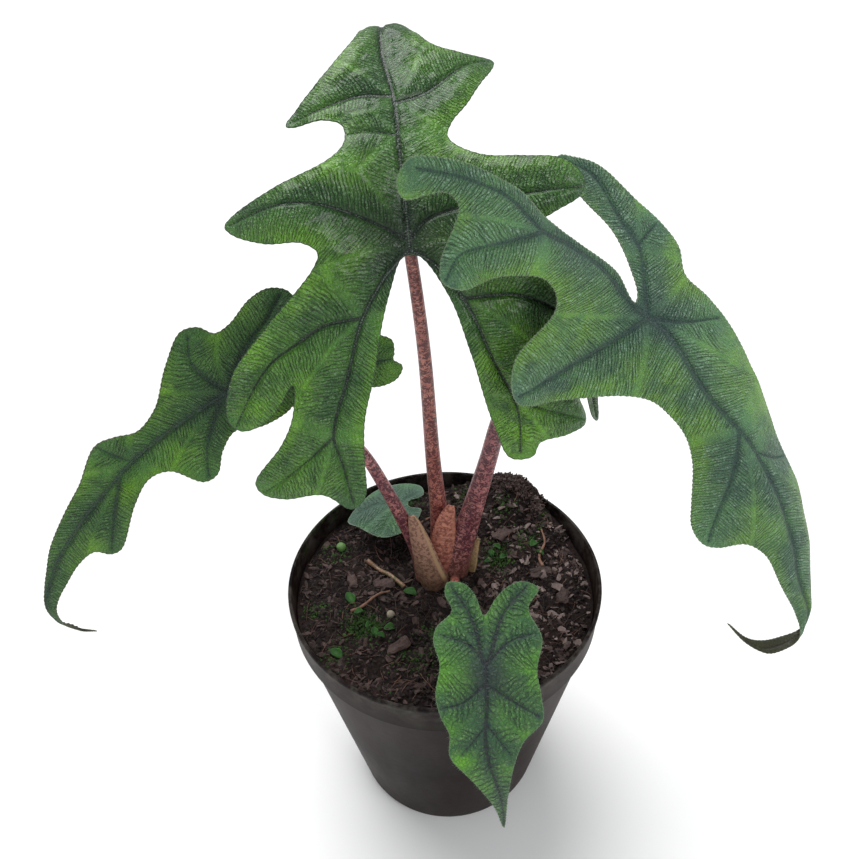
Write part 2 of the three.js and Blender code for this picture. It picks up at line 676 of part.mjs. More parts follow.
lay(add('pellet_green', new THREE.IcosahedronGeometry(2.4, 1), pelletGreen), -53, 27, 0);
lay(add('granule_beige', new THREE.IcosahedronGeometry(1.9, 1), granuleBeige), -26, -16, 0);

export default plant;
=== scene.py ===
import math

import bpy
import numpy as np
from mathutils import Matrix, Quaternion, Vector, noise
from mathutils.geometry import delaunay_2d_cdt


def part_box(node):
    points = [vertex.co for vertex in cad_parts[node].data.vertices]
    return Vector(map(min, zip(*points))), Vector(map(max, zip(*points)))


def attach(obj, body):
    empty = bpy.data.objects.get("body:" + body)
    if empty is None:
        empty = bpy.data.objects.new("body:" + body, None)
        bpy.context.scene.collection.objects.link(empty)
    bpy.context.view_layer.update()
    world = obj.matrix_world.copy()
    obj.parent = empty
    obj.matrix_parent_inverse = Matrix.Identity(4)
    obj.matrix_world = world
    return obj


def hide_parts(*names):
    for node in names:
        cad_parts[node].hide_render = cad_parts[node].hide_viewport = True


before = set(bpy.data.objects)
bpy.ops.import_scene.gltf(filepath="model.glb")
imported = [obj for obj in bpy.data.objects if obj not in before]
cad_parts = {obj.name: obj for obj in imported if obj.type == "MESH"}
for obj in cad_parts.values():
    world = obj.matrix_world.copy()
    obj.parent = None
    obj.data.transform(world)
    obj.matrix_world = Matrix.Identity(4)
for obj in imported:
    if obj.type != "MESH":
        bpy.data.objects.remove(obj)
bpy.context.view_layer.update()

MM = 0.001
NOISE_SEED = 5

# Without a seed, noise_vector takes its offset from the clock.
noise.seed_set(NOISE_SEED)


# ---------------------------------------------------------------- camera, light, floor
SENSOR = 36.0
LENS = 33.5
LENS_SHIFT = -0.0135
CAMERA_PLACE = (0, -262.5, 430.2)
CAMERA_TILT = 52.2
CAMERA_ROLL = -1.36
MIDDLE = (0.0, 0.0, 0.2)
WORLD_STRENGTH = 0.5
SKY_POWER = 2.5
SKY_ANGLE = 44
SOFTBOX_POWER = 7.0
SOFTBOX_SIZE = 0.7
FLOOR_SIZE = 12.0


def set_camera():
    data = bpy.data.cameras.new("camera")
    camera = bpy.data.objects.new("camera", data)
    bpy.context.scene.collection.objects.link(camera)
    data.sensor_width = SENSOR
    data.lens = LENS
    data.shift_x = LENS_SHIFT
    data.clip_start = 0.01
    tilt = Quaternion((1, 0, 0), math.radians(CAMERA_TILT))
    roll = Quaternion((0, 0, 1), math.radians(CAMERA_ROLL))
    camera.rotation_mode = "QUATERNION"
    camera.rotation_quaternion = tilt @ roll
    camera.location = Vector(CAMERA_PLACE) * MM
    bpy.context.scene.camera = camera
    bpy.context.scene.view_settings.view_transform = "Standard"


def aim_lamp(name, kind, place, power):
    """A lamp of a kind at a place in metres, turned towards the middle of the plant."""
    data = bpy.data.lights.new(name, kind)
    data.energy = power
    lamp = bpy.data.objects.new(name, data)
    bpy.context.scene.collection.objects.link(lamp)
    lamp.location = place
    aim = Vector(MIDDLE) - lamp.location
    lamp.rotation_mode = "QUATERNION"
    lamp.rotation_quaternion = aim.to_track_quat("-Z", "Y")
    return data


def set_light():
    world = bpy.data.worlds.new("studio")
    world.use_nodes = True
    background = world.node_tree.nodes["Background"]
    background.inputs["Color"].default_value = (0.96, 0.98, 1.0, 1.0)
    background.inputs["Strength"].default_value = WORLD_STRENGTH
    bpy.context.scene.world = world
    sky_panel = aim_lamp("sky_panel", "SUN", (-0.4, 0.75, 2.0), SKY_POWER)
    sky_panel.angle = math.radians(SKY_ANGLE)
    softbox = aim_lamp("softbox", "AREA", (0.9, -0.9, 1.3), SOFTBOX_POWER)
    softbox.size = SOFTBOX_SIZE


def set_floor():
    bpy.ops.object.select_all(action="DESELECT")
    bpy.ops.mesh.primitive_plane_add(size=FLOOR_SIZE, location=(0, 0, 0))
    floor = bpy.context.object
    floor.name = "floor"
    paper = bpy.data.materials.new("pale_paper")
    paper.use_nodes = True
    shader = paper.node_tree.nodes["Principled BSDF"]
    shader.inputs["Base Color"].default_value = (0.93, 0.93, 0.92, 1.0)
    shader.inputs["Roughness"].default_value = 0.9
    floor.data.materials.append(paper)


# ---------------------------------------------------------------- finishes
def tint(red, green, blue):
    """A colour given as it looks on a screen, 0 to 255, in the shader's linear values."""
    shares = [value / 255 for value in (red, green, blue)]
    return (*[s / 12.92 if s < 0.0405 else ((s + 0.055) / 1.055) ** 2.4 for s in shares], 1.0)


class Finish:
    """A material under construction. Most methods add one node and give back its output."""

    def __init__(self, name, **sockets):
        self.material = bpy.data.materials.new(name)
        self.material.use_nodes = True
        self.nodes = self.material.node_tree.nodes
        self.links = self.material.node_tree.links
        self.shader = self.nodes["Principled BSDF"]
        for socket, value in sockets.items():
            self.shader.inputs[socket.replace("_", " ").title()].default_value = value
        self.place = self.nodes.new("ShaderNodeTexCoord").outputs["Object"]

    def feed(self, socket, value):
        if isinstance(value, bpy.types.NodeSocket):
            self.links.new(value, socket)
        else:
            socket.default_value = value

    def colour(self, value):
        self.feed(self.shader.inputs["Base Color"], value)

    def roughness(self, value):
        self.feed(self.shader.inputs["Roughness"], value)

    def attribute(self, name, output="Fac"):
        node = self.nodes.new("ShaderNodeAttribute")
        node.attribute_name = name
        return node.outputs[output]

    def noise(self, scale, detail=4.0, rough=0.6, at=None, distortion=0.0):
        node = self.nodes.new("ShaderNodeTexNoise")
        self.feed(node.inputs["Vector"], at or self.place)
        node.inputs["Scale"].default_value = scale
        node.inputs["Detail"].default_value = detail
        node.inputs["Roughness"].default_value = rough
        node.inputs["Distortion"].default_value = distortion
        return node.outputs["Fac"]

    def cells(self, scale):
        """Distance to the walls of a net of cells."""
        node = self.nodes.new("ShaderNodeTexVoronoi")
        node.feature = "DISTANCE_TO_EDGE"
        self.feed(node.inputs["Vector"], self.place)
        node.inputs["Scale"].default_value = scale
        return node.outputs["Distance"]

    def stretched(self, at, scale):
        node = self.nodes.new("ShaderNodeMapping")
        self.feed(node.inputs["Vector"], at)
        node.inputs["Scale"].default_value = scale
        return node.outputs["Vector"]

    def between(self, value, low, high):
        """0 where the value is low, 1 where it is high, and smooth between."""
        node = self.nodes.new("ShaderNodeMapRange")
        node.interpolation_type = "SMOOTHSTEP"
        self.feed(node.inputs["Value"], value)
        node.inputs["From Min"].default_value = low
        node.inputs["From Max"].default_value = high
        return node.outputs["Result"]

    def maths(self, operation, first, second=0.0):
        node = self.nodes.new("ShaderNodeMath")
        node.operation = operation
        self.feed(node.inputs[0], first)
        self.feed(node.inputs[1], second)
        return node.outputs["Value"]

    def pair(self, first, second):
        node = self.nodes.new("ShaderNodeCombineXYZ")
        self.feed(node.inputs["X"], first)
        self.feed(node.inputs["Y"], second)
        return node.outputs["Vector"]

    def times(self, first, second):
        return self.maths("MULTIPLY", first, second)

    def mix(self, share, first, second):
        node = self.nodes.new("ShaderNodeMix")
        node.data_type = "RGBA"
        self.feed(node.inputs["Factor"], share)
        self.feed(node.inputs[6], first)
        self.feed(node.inputs[7], second)
        return node.outputs[2]

    def bump(self, height, distance, strength=1.0):
        """Relief in the shader, with its distance in millimetres."""
        node = self.nodes.new("ShaderNodeBump")
        self.feed(node.inputs["Height"], height)
        node.inputs["Distance"].default_value = distance * MM
        node.inputs["Strength"].default_value = strength
        self.feed(self.shader.inputs["Normal"], node.outputs["Normal"])


def blade_finish(name, look):
    """Leaf tissue: varied green, dark lines between fine ribs, sunken veins, a margin; painted
    highlights on the vein and rib crests and painted shade by the petiole.
    """
    finish = Finish(name, roughness=look["roughness"], coat_weight=look["coat"],
                    coat_roughness=look["coat_roughness"], sheen_weight=look["sheen"],
                    sheen_roughness=0.4)
    finish.shader.inputs["Specular IOR Level"].default_value = look["specular"]
    gap = finish.attribute("vein_gap")
    share = finish.attribute("rib_share")
    margin = finish.attribute("margin_gap")
    lime = finish.attribute("lime")
    under = finish.attribute("underside")
    broad = finish.noise(55, 3)
    medium = finish.noise(260, 4, 0.7)

    green = finish.mix(finish.between(broad, 0.36, 0.66), look["deep"], look["green"])
    patches = finish.times(lime, finish.between(finish.noise(130, 4), 0.26, 0.6))
    green = finish.mix(patches, green, look["lime"])

    lanes = finish.pair(finish.attribute("rib_phase"), finish.times(gap, 0.22))
    bent = finish.maths("ADD", finish.times(finish.noise(110, 3), look["wander"]),
                        finish.times(finish.noise(0.75, 3, 0.6, lanes), 2.4))
    phase = finish.maths("ADD", finish.attribute("rib_phase"), bent)
    wave = finish.maths("ABSOLUTE", finish.maths("SINE", finish.times(phase, math.pi)))
    broken = finish.times(finish.noise(1.3, 2, 0.5, lanes), 1.5)
    groove = finish.between(finish.maths("ADD", wave, broken), 1.1, 0.62)
    groove = finish.times(groove, share)
    net = finish.cells(look["net_scale"])
    mesh_line = finish.between(net, 0.16, 0.0)
    lines = finish.maths("MAXIMUM", finish.times(groove, look["groove"]),
                         finish.times(mesh_line, look["net"]))
    lines = finish.times(lines, finish.between(medium, 0.25, 0.5))
    # Pale specks along the rib crests: a painted sheen, the highlights of the velvety surface.
    specks = finish.between(finish.noise(1500, 2, 0.6), 0.46, 0.62)
    painted_sheen = finish.times(finish.between(wave, 0.35, 1.0), finish.between(medium, 0.36, 0.62))
    painted_sheen = finish.times(finish.times(painted_sheen, specks), finish.between(share, -0.5, 0.8))
    green = finish.mix(finish.times(painted_sheen, look["painted_sheen"]), green, look["painted_sheen_tint"])
    green = finish.mix(lines, green, look["line"])
    # Painted shade: darker towards the petiole, where the other leaves shade the blade.
    green = finish.mix(finish.times(finish.attribute("junction_shade"), look["junction_shade"]), green, look["channel"])

    ragged = finish.maths("ADD", finish.times(finish.between(medium, 0.3, 0.6), 0.5),
                          finish.times(finish.between(wave, 1.0, 0.2), 0.5))
    zone = finish.times(finish.between(gap, look["zone_reach"], 0.3), look["zone"])
    green = finish.mix(finish.times(zone, ragged), green, look["vein"])
    channel = finish.times(finish.between(gap, 1.2, 0.5), look["channel_share"])
    green = finish.mix(channel, green, look["channel"])
    # A pale line along the crest of each vein: a painted highlight.
    crest_highlight = finish.times(finish.between(gap, 0.42, 0.16), look["crest_highlight_share"])
    crest_highlight = finish.times(crest_highlight, finish.between(medium, 0.3, 0.52))
    green = finish.mix(crest_highlight, green, look["crest_highlight"])
    rim = finish.times(finish.between(margin, look["rim"], 0.15), 0.8)
    green = finish.mix(rim, green, look["margin"])

    back_line = finish.maths("MAXIMUM", finish.between(gap, 1.3, 0.5), finish.times(lines, 0.8))
    back = finish.mix(back_line, look["back"], look["back_vein"])
    finish.colour(finish.mix(under, green, back))
    ribs = finish.times(finish.between(wave, 0.0, 0.8), share)
    puckers = finish.times(finish.between(net, 0.0, 0.35), 0.5)
    height = finish.maths("ADD", finish.maths("ADD", ribs, puckers), finish.times(medium, 0.5))
    finish.bump(height, look["relief"])
    return finish.material


def petiole_finish(name, light, mid, dark, speckle):
    """Satin skin with dark blotches like scales, small pale ones and a browner foot."""
    finish = Finish(name, roughness=0.42, coat_weight=0.1, coat_roughness=0.3)
    skin = finish.attribute("skin", "Vector")
    broad = finish.noise(0.22, 3, 0.6, finish.stretched(skin, (1, 1, 0.35)))
    base = finish.mix(finish.between(broad, 0.38, 0.62), mid, light)
    scales = finish.noise(0.62, 3, 0.6, finish.stretched(skin, (0.75, 0.75, 1.0)), 1.2)
    scales = finish.maths("ADD", scales, finish.times(finish.noise(1.8, 2, 0.6, skin), 0.3))
    base = finish.mix(finish.times(finish.between(scales, 0.605, 0.66), speckle), base, dark)
    pale = finish.noise(2.4, 2, 0.6, finish.stretched(skin, (1, 1, 0.5)))
    base = finish.mix(finish.times(finish.between(pale, 0.62, 0.72), 0.45), base, light)
    foot = finish.attribute("foot")
    base = finish.mix(finish.times(foot, 0.55), base, tint(96, 66, 44))
    finish.colour(base)
    finish.bump(finish.noise(2.0, 3, 0.6, finish.stretched(skin, (1, 1, 0.25))), 0.25, 0.6)
    return finish.material


def plain_finish(name, light, dark, scale, roughness, relief):
    """Natural stuff: two colours mixed by noise and by the piece's own shade, with some relief."""
    finish = Finish(name, roughness=roughness)
    mottle = finish.noise(scale, 6, 0.7)
    shade = finish.attribute("shade")
    speckle = finish.times(finish.between(mottle, 0.3, 0.7), 0.5)
    own = finish.maths("ADD", speckle, finish.times(shade, 0.5))
    finish.colour(finish.mix(own, dark, light))
    finish.bump(mottle, relief)
    return finish.material


def pot_finish():
    """Satin brown-black plastic, dusty at the rim, with algae stains and faint scratches."""
    finish = Finish("pot_plastic", sheen_weight=0.03, sheen_roughness=0.5,
                    sheen_tint=tint(214, 150, 132))
    finish.shader.inputs["IOR"].default_value = 1.16
    blotches = finish.between(finish.noise(18, 4), 0.35, 0.7)
    ground = finish.mix(blotches, tint(8, 5, 6), tint(20, 12, 12))
    rim = finish.attribute("rim")
    dust = finish.times(rim, finish.between(finish.noise(90, 6, 0.75), 0.4, 0.66))
    ground = finish.mix(finish.times(dust, 0.55), ground, tint(86, 82, 76))
    algae = finish.times(rim, finish.between(finish.noise(34, 5, 0.7), 0.56, 0.68))
    ground = finish.mix(finish.times(algae, 0.8), ground, tint(46, 66, 30))
    smear = finish.noise(30, 5, 0.7, finish.stretched(finish.place, (1, 1, 0.3)))
    ground = finish.mix(finish.times(finish.between(smear, 0.5, 0.8), 0.16), ground, tint(62, 44, 40))
    scratch = finish.noise(60, 3, 0.6, finish.stretched(finish.place, (6, 6, 0.25)))
    scratches = finish.times(finish.between(scratch, 0.68, 0.76), 0.3)
    ground = finish.mix(scratches, ground, tint(74, 60, 56))
    finish.colour(ground)
    finish.roughness(finish.maths("ADD", finish.times(smear, 0.3), 0.34))
    finish.bump(finish.noise(240, 3), 0.12, 0.6)
    return finish.material


def mix_finish():
    """Dark moist peat."""
    finish = Finish("potting_mix", roughness=0.92)
    fine = finish.noise(420, 8, 0.75)
    broad = finish.noise(60, 4)
    dark = finish.mix(finish.between(fine, 0.35, 0.7), tint(17, 12, 11), tint(46, 34, 30))
    paler = finish.times(finish.between(broad, 0.5, 0.75), 0.5)
    finish.colour(finish.mix(paler, dark, tint(66, 50, 44)))
    finish.shader.inputs["Specular IOR Level"].default_value = 0.25
    finish.bump(fine, 1.1)
    return finish.material


# ---------------------------------------------------------------- curves and grids
def smooth_run(points, step, closed=False):
    """Evenly spaced points on a centripetal curve through the given ones."""
    points = np.array(points, float)
    if closed:
        ring = np.vstack([points[-1:], points, points[:2]])
    else:
        ring = np.vstack([2 * points[0] - points[1], points, 2 * points[-1] - points[-2]])
    fine = []
    for p0, p1, p2, p3 in zip(ring, ring[1:], ring[2:], ring[3:]):
        t1 = math.dist(p0, p1) ** 0.5
        t2 = t1 + math.dist(p1, p2) ** 0.5
        t3 = t2 + math.dist(p2, p3) ** 0.5
        t = np.linspace(t1, t2, 16, endpoint=False)[:, None]
        a1 = ((t1 - t) * p0 + t * p1) / t1
        a2 = ((t2 - t) * p1 + (t - t1) * p2) / (t2 - t1)
        a3 = ((t3 - t) * p2 + (t - t2) * p3) / (t3 - t2)
        b1 = ((t2 - t) * a1 + t * a2) / t2
        b2 = ((t3 - t) * a2 + (t - t1) * a3) / (t3 - t1)
        fine.append(((t2 - t) * b1 + (t - t1) * b2) / (t2 - t1))
    fine.append(points[:1] if closed else points[-1:])
    fine = np.vstack(fine)
    gone = np.concatenate([[0], np.cumsum(np.linalg.norm(np.diff(fine, axis=0), axis=1))])
    count = max(2, round(gone[-1] / step))
    marks = np.linspace(0, gone[-1], count + 1)
    if closed:
        marks = marks[:-1]
    return np.stack([np.interp(marks, gone, column) for column in fine.T], axis=1)


def ramp(values, low, high):
    """0 at low, 1 at high, and smooth between."""
    share = np.clip((values - low) / (high - low), 0, 1)
    return share * share * (3 - 2 * share)


def grain(points, size, octaves=3):
    """Smooth noise from about -1 to 1, with features of the given size."""
    return np.array([noise.fractal(Vector(p) / size, 0.9, 2.0, octaves) for p in points])


def write_mesh(name, places, faces, **marks):
    """A new object from millimetre points, with one value per point for each mark."""
    mesh = bpy.data.meshes.new(name)
    mesh.from_pydata((np.asarray(places) * MM).tolist(), [], np.asarray(faces).tolist())
    for mark, values in marks.items():
        add_mark(mesh, mark, values)
    mesh.shade_smooth()
    piece = bpy.data.objects.new(name, mesh)
    bpy.context.scene.collection.objects.link(piece)
    return piece


def add_mark(mesh, name, values):
    """A named attribute with a number, or three, for each point."""
    values = np.asarray(values, float)
    if values.ndim == 2:
        attribute = mesh.attributes.new(name, "FLOAT_VECTOR", "POINT")
        attribute.data.foreach_set("vector", values.ravel())
    else:
        attribute = mesh.attributes.new(name, "FLOAT", "POINT")
        attribute.data.foreach_set("value", values)


def finished(piece, material, slot, *nodes):
    """Gives a piece its finish and its place in the frame. It stands for the nodes named."""
    if nodes:
        piece.name = f"{nodes[0]}_fine"
    piece.data.materials.clear()
    piece.data.materials.append(material)
    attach(piece, "root")
    if nodes:
        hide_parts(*nodes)
    return piece


def bent_grid(name, columns, rows, place, tube=False, **marks):
    """A flat grid bent into place. place and marks take across and along, both from -1 to 1."""
    bpy.ops.object.select_all(action="DESELECT")
    bpy.ops.mesh.primitive_grid_add(x_subdivisions=columns, y_subdivisions=rows, size=2)
    piece = bpy.context.object
    piece.name = name
    mesh = piece.data
    flat = np.empty(len(mesh.vertices) * 3)
    mesh.vertices.foreach_get("co", flat)
    across, along, _ = flat.reshape(-1, 3).T
    mesh.vertices.foreach_set("co", (place(across, along) * MM).ravel())
    for mark, values in marks.items():
        add_mark(mesh, mark, values(across, along))
    if tube:
        bpy.ops.object.mode_set(mode="EDIT")
        bpy.ops.mesh.select_all(action="SELECT")
        bpy.ops.mesh.remove_doubles(threshold=1e-6)
        bpy.ops.mesh.select_all(action="DESELECT")
        bpy.ops.mesh.select_non_manifold()
        bpy.ops.mesh.fill_holes(sides=0)
        bpy.ops.mesh.select_all(action="SELECT")
        bpy.ops.mesh.normals_make_consistent(inside=False)
        bpy.ops.object.mode_set(mode="OBJECT")
    mesh.shade_smooth()
    return piece


def frames_along(path):
    """Two directions square to the path at each of its points, without twist."""
    ahead = np.gradient(path, axis=0)
    ahead /= np.linalg.norm(ahead, axis=1)[:, None]
    side = np.cross(ahead[0], [0.0, 1.0, 0.2])
    sides = []
    for step in ahead:
        side = side - step * (side @ step)
        side = side / np.linalg.norm(side)
        sides.append(side)
    sides = np.array(sides)
    return sides, np.cross(ahead, sides)


FOOT_LENGTH = 22.0


def stalk(name, route, width_at, sides=28, step=1.5):
    """A tapered stalk along a route. width_at gives radii for shares of the length."""
    path = smooth_run(route, step)
    side, out = frames_along(path)
    rows = len(path) - 1
    length = rows * step

    def place(across, along):
        row = np.rint((along + 1) / 2 * rows).astype(int)
        turn = across * math.pi
        ring = side[row] * np.cos(turn)[:, None] + out[row] * np.sin(turn)[:, None]
        return path[row] + ring * width_at(row / rows)[:, None]

    def skin(across, along):
        turn = across * math.pi
        share = (along + 1) / 2
        radius = width_at(share)
        return np.stack([radius * np.cos(turn), radius * np.sin(turn), share * length], axis=1)

    def foot(across, along):
        return ramp((along + 1) / 2 * length, FOOT_LENGTH, 0)

    return bent_grid(name, sides, rows, place, True, skin=skin, foot=foot)


# ---------------------------------------------------------------- leaf blades
def leaf_map(pins):
    """A smooth map from the flat leaf to space, a thin plate spline through its pins."""
    pins = np.array(pins, float)
    flat = pins[:, :2]
    count = len(flat)

    def kernel(points):
        square = ((points[:, None] - flat[None]) ** 2).sum(2)
        return square * np.log(np.maximum(square, 1e-12)) / 2

    tail = np.column_stack([np.ones(count), flat])
    matrix = np.block([[kernel(flat), tail], [tail.T, np.zeros((3, 3))]])
    weights = np.linalg.solve(matrix, np.vstack([pins[:, 2:], np.zeros((3, 3))]))

    def place(points):
        return np.hstack([kernel(points), np.ones((len(points), 1)), points]) @ weights

    return place


def leaf_normals(place, flat):
    """The directions square to a mapped leaf."""
    across = place(flat + [0.5, 0]) - place(flat - [0.5, 0])
    along = place(flat + [0, 0.5]) - place(flat - [0, 0.5])
    normals = np.cross(across, along)
    return normals / np.linalg.norm(normals, axis=1)[:, None]


def inside(outline, points):
    """Which points lie inside a closed outline."""
    hit = np.zeros(len(points), bool)
    for a, b in zip(outline, np.roll(outline, -1, axis=0)):
        if a[1] == b[1]:
            continue
        crosses = (a[1] > points[:, 1]) != (b[1] > points[:, 1])
        edge = (b[0] - a[0]) * (points[:, 1] - a[1]) / (b[1] - a[1]) + a[0]
        hit ^= crosses & (points[:, 0] < edge)
    return hit


CHUNK = 4000
STEP_BLUR = 0.9


def squares_to(points, run):
    """Squared distances from points to every point of a run, a chunk of points at a time."""
    for part in np.array_split(points, len(points) // CHUNK + 1):
        yield ((part[:, None] - run) ** 2).sum(2)


def distance_to(points, run):
    """Distance from each point to the nearest point of a run."""
    return np.concatenate([np.sqrt(squares.min(axis=1)) for squares in squares_to(points, run)])


def place_along(points, run):
    """Distance to a run of points, and a softened place along it, in steps."""
    far, step = [], []
    order = np.arange(len(run))
    for squares in squares_to(points, run):
        gaps = np.sqrt(squares)
        least = gaps.min(axis=1)
        pull = np.exp((least[:, None] - gaps) / STEP_BLUR)
        far.append(least)
        step.append((pull @ order) / pull.sum(axis=1))
    return np.concatenate(far), np.concatenate(step)


ROW_SHARE = 0.866
EDGE_SHARE = 0.55


def leaf_points(outline, cell):
    """Points for a blade: its outline, then an even field of points inside it."""
    low, high = outline.min(axis=0), outline.max(axis=0)
    across = np.arange(low[0], high[0], cell)
    up = np.arange(low[1], high[1], cell * ROW_SHARE)
    u, v = np.meshgrid(across, up)
    u[1::2] += cell / 2
    field = np.column_stack([u.ravel(), v.ravel()])
    field = field[inside(outline, field)]
    return np.vstack([outline, field[distance_to(field, outline) > cell * EDGE_SHARE]])


VEIN_WIDTH = {"main": 2.0, "side": 1.5, "minor": 1.0}
VEIN_TAPER = 0.6
VEIN_STEP = 1.0
RIB_BEND = 0.008
RIB_END = 6.0
OUT_OF_REACH = 99.0
HAIR_GAP = 0.7
HAIR_RADIUS = 0.07
EDGE_THICKNESS = 0.35
BODY_THICKNESS = 0.5


def flat_blade(outline, cell):
    """The flat blade as points, with the outline first, and triangles."""
    vectors = [Vector(p) for p in leaf_points(outline, cell)]
    ring = [list(range(len(outline)))]
    corners, _, triangles, _, _, _ = delaunay_2d_cdt(vectors, [], ring, 1, 1e-6)
    return np.array([tuple(corner) for corner in corners]), np.array(triangles)


def vein_measures(flat, leaf):
    """Per point: distance to the nearest vein in vein widths and in millimetres, and the ribs."""
    gap, closest, second = (np.full(len(flat), OUT_OF_REACH) for _ in range(3))
    phase = np.zeros(len(flat))
    open_end = np.zeros(len(flat))
    for rank, points in leaf["veins"]:
        run = smooth_run(points, VEIN_STEP)
        far, step = place_along(flat, run)
        taper = 1.0 - VEIN_TAPER * step / (len(run) - 1)
        gap = np.minimum(gap, far / (VEIN_WIDTH[rank] * taper * leaf["vein_scale"]))
        along = step * VEIN_STEP - leaf["rib_slant"] * far - RIB_BEND * far**2
        along = along / leaf["rib_spacing"]
        phase = np.where(far < closest, along, phase)
        open_end = np.where(far < closest, ramp(len(run) - 1 - step, 0.0, RIB_END), open_end)
        second = np.where(far < closest, closest, np.minimum(second, far))
        closest = np.minimum(closest, far)
    share = ramp(second - closest, 0.8, 3.0) * ramp(closest, 0.5, 2.0) * (0.12 + 0.88 * open_end)
    return gap, closest, phase, share


def outline_of(leaf, step):
    """The smooth outline at even steps, and the direction across it."""
    outline = smooth_run(leaf["outline"], step, closed=True)
    out = np.roll(outline, -1, axis=0) - np.roll(outline, 1, axis=0)
    out = np.column_stack([out[:, 1], -out[:, 0]])
    return outline, out / np.linalg.norm(out, axis=1)[:, None]


def fringe(name, leaf, material, slot):
    """Short pale hairs along the margin, each a thin three-sided spike."""
    random = np.random.default_rng(int(leaf["seed"]))
    outline, out = outline_of(leaf, HAIR_GAP)
    if inside(outline, outline + out * 0.5).mean() > 0.5:
        out = -out
    place = leaf_map(leaf["pins"])
    root = place(outline - out * 0.3) - 0.25 * leaf_normals(place, outline)
    tip = place(outline + out * 0.6) - root
    tip /= np.linalg.norm(tip, axis=1)[:, None]
    tip = root + (tip + random.normal(0, 0.25, tip.shape)) * random.uniform(0.6, 1.5, (len(root), 1))
    spokes = random.normal(0, 1, (len(root), 1, 3)) * 0.02 + HAIR_RADIUS * np.eye(3)[None]
    corners = np.concatenate([root[:, None] + spokes, tip[:, None]], axis=1)
    first = 4 * np.arange(len(root))[:, None, None]
    faces = np.array([(0, 2, 1), (0, 1, 3), (1, 2, 3), (2, 0, 3)])[None] + first
    piece = write_mesh(name, corners.reshape(-1, 3), faces.reshape(-1, 3), shade=np.ones(4 * len(root)))
    return finished(piece, material, slot)


def blade(name, leaf, material, slot):
    """A thin closed blade: quilted above, with standing veins below."""
    step = leaf["cell"] * 0.9
    outline, out = outline_of(leaf, step)
    teeth = np.sin(np.arange(len(outline)) * step * 2 * math.pi / leaf["tooth_pitch"])
    outline = outline + out * (leaf["tooth"] * teeth)[:, None]
    place = leaf_map(leaf["pins"])
    sheets = [layer(leaf, place, outline, depth) for depth in (0, 1)]
    (top_places, top_faces, top_marks), (low_places, low_faces, low_marks) = sheets
    count = len(top_places)
    ring = np.arange(len(outline))
    ahead = np.roll(ring, -1)
    side = np.vstack([np.column_stack([ahead, ring, ring + count]),
                      np.column_stack([ahead, ring + count, ahead + count])])
    places = np.vstack([top_places, low_places])
    faces = np.vstack([top_faces, low_faces[:, ::-1] + count, side])
    marks = {mark: np.concatenate([top_marks[mark], low_marks[mark]]) for mark in top_marks}
    piece = write_mesh(name, places, faces, **marks)
    return finished(piece, material, slot, name)


def layer(leaf, place, outline, depth):
    """One face of a blade, the upper one at depth 0 and the lower one at depth 1."""
    flat, triangles = flat_blade(outline, leaf["cell"] * (1 + 1.2 * depth))
    gap, closest, phase, share = vein_measures(flat, leaf)
    edge = distance_to(flat, outline)
    calm = ramp(edge, 0.0, 3.0)
    seeded = np.column_stack([flat, np.full(len(flat), leaf["seed"])])
    wave = grain(seeded, 16.0, 2)
    rib = np.sin(math.pi * phase) ** 2 * share
    height = (leaf["quilt"] * (1 - np.exp(-closest / 4.0)) * ramp(edge, 0.0, 6.0)
              - leaf["channel"] * np.exp(-(gap / 1.2) ** 2) * calm
              + leaf["ridge"] * np.exp(-(gap / 0.38) ** 2)
              + leaf["rib_height"] * rib * (0.3 + 0.7 * calm)
              + leaf["pucker"] * grain(seeded, 4.5, 2) * calm * ramp(closest, 0.5, 3.0)
              + leaf["ripple"] * wave * np.exp(-edge / 8.0))
    if depth:
        keel = leaf["keel"] * np.exp(-(gap / 0.7) ** 2) * ramp(edge, 0.0, 2.0)
        height = height - EDGE_THICKNESS - BODY_THICKNESS * calm - keel
    lime = ramp(closest, 4.0, 14.0) * 0.5 + 0.25 * ramp(edge, 9.0, 1.0) * ramp(closest, 2.0, 8.0)
    for u, v, reach, strength in leaf["lime_spots"]:
        away = (flat[:, 0] - u) ** 2 + (flat[:, 1] - v) ** 2
        lime = np.maximum(lime, strength * np.exp(-away / reach**2))
    # Painted shade, strongest at the petiole's junction.
    junction_shade = np.exp(-(np.hypot(flat[:, 0], flat[:, 1] - 4) / leaf["junction_shade"]) ** 2)
    marks = {"junction_shade": junction_shade, "vein_gap": gap, "rib_phase": phase, "rib_share": share,
             "margin_gap": edge, "lime": np.clip(lime, 0, 1),
             "underside": np.full(len(flat), float(depth))}
    return place(flat) + leaf_normals(place, flat) * height[:, None], triangles, marks
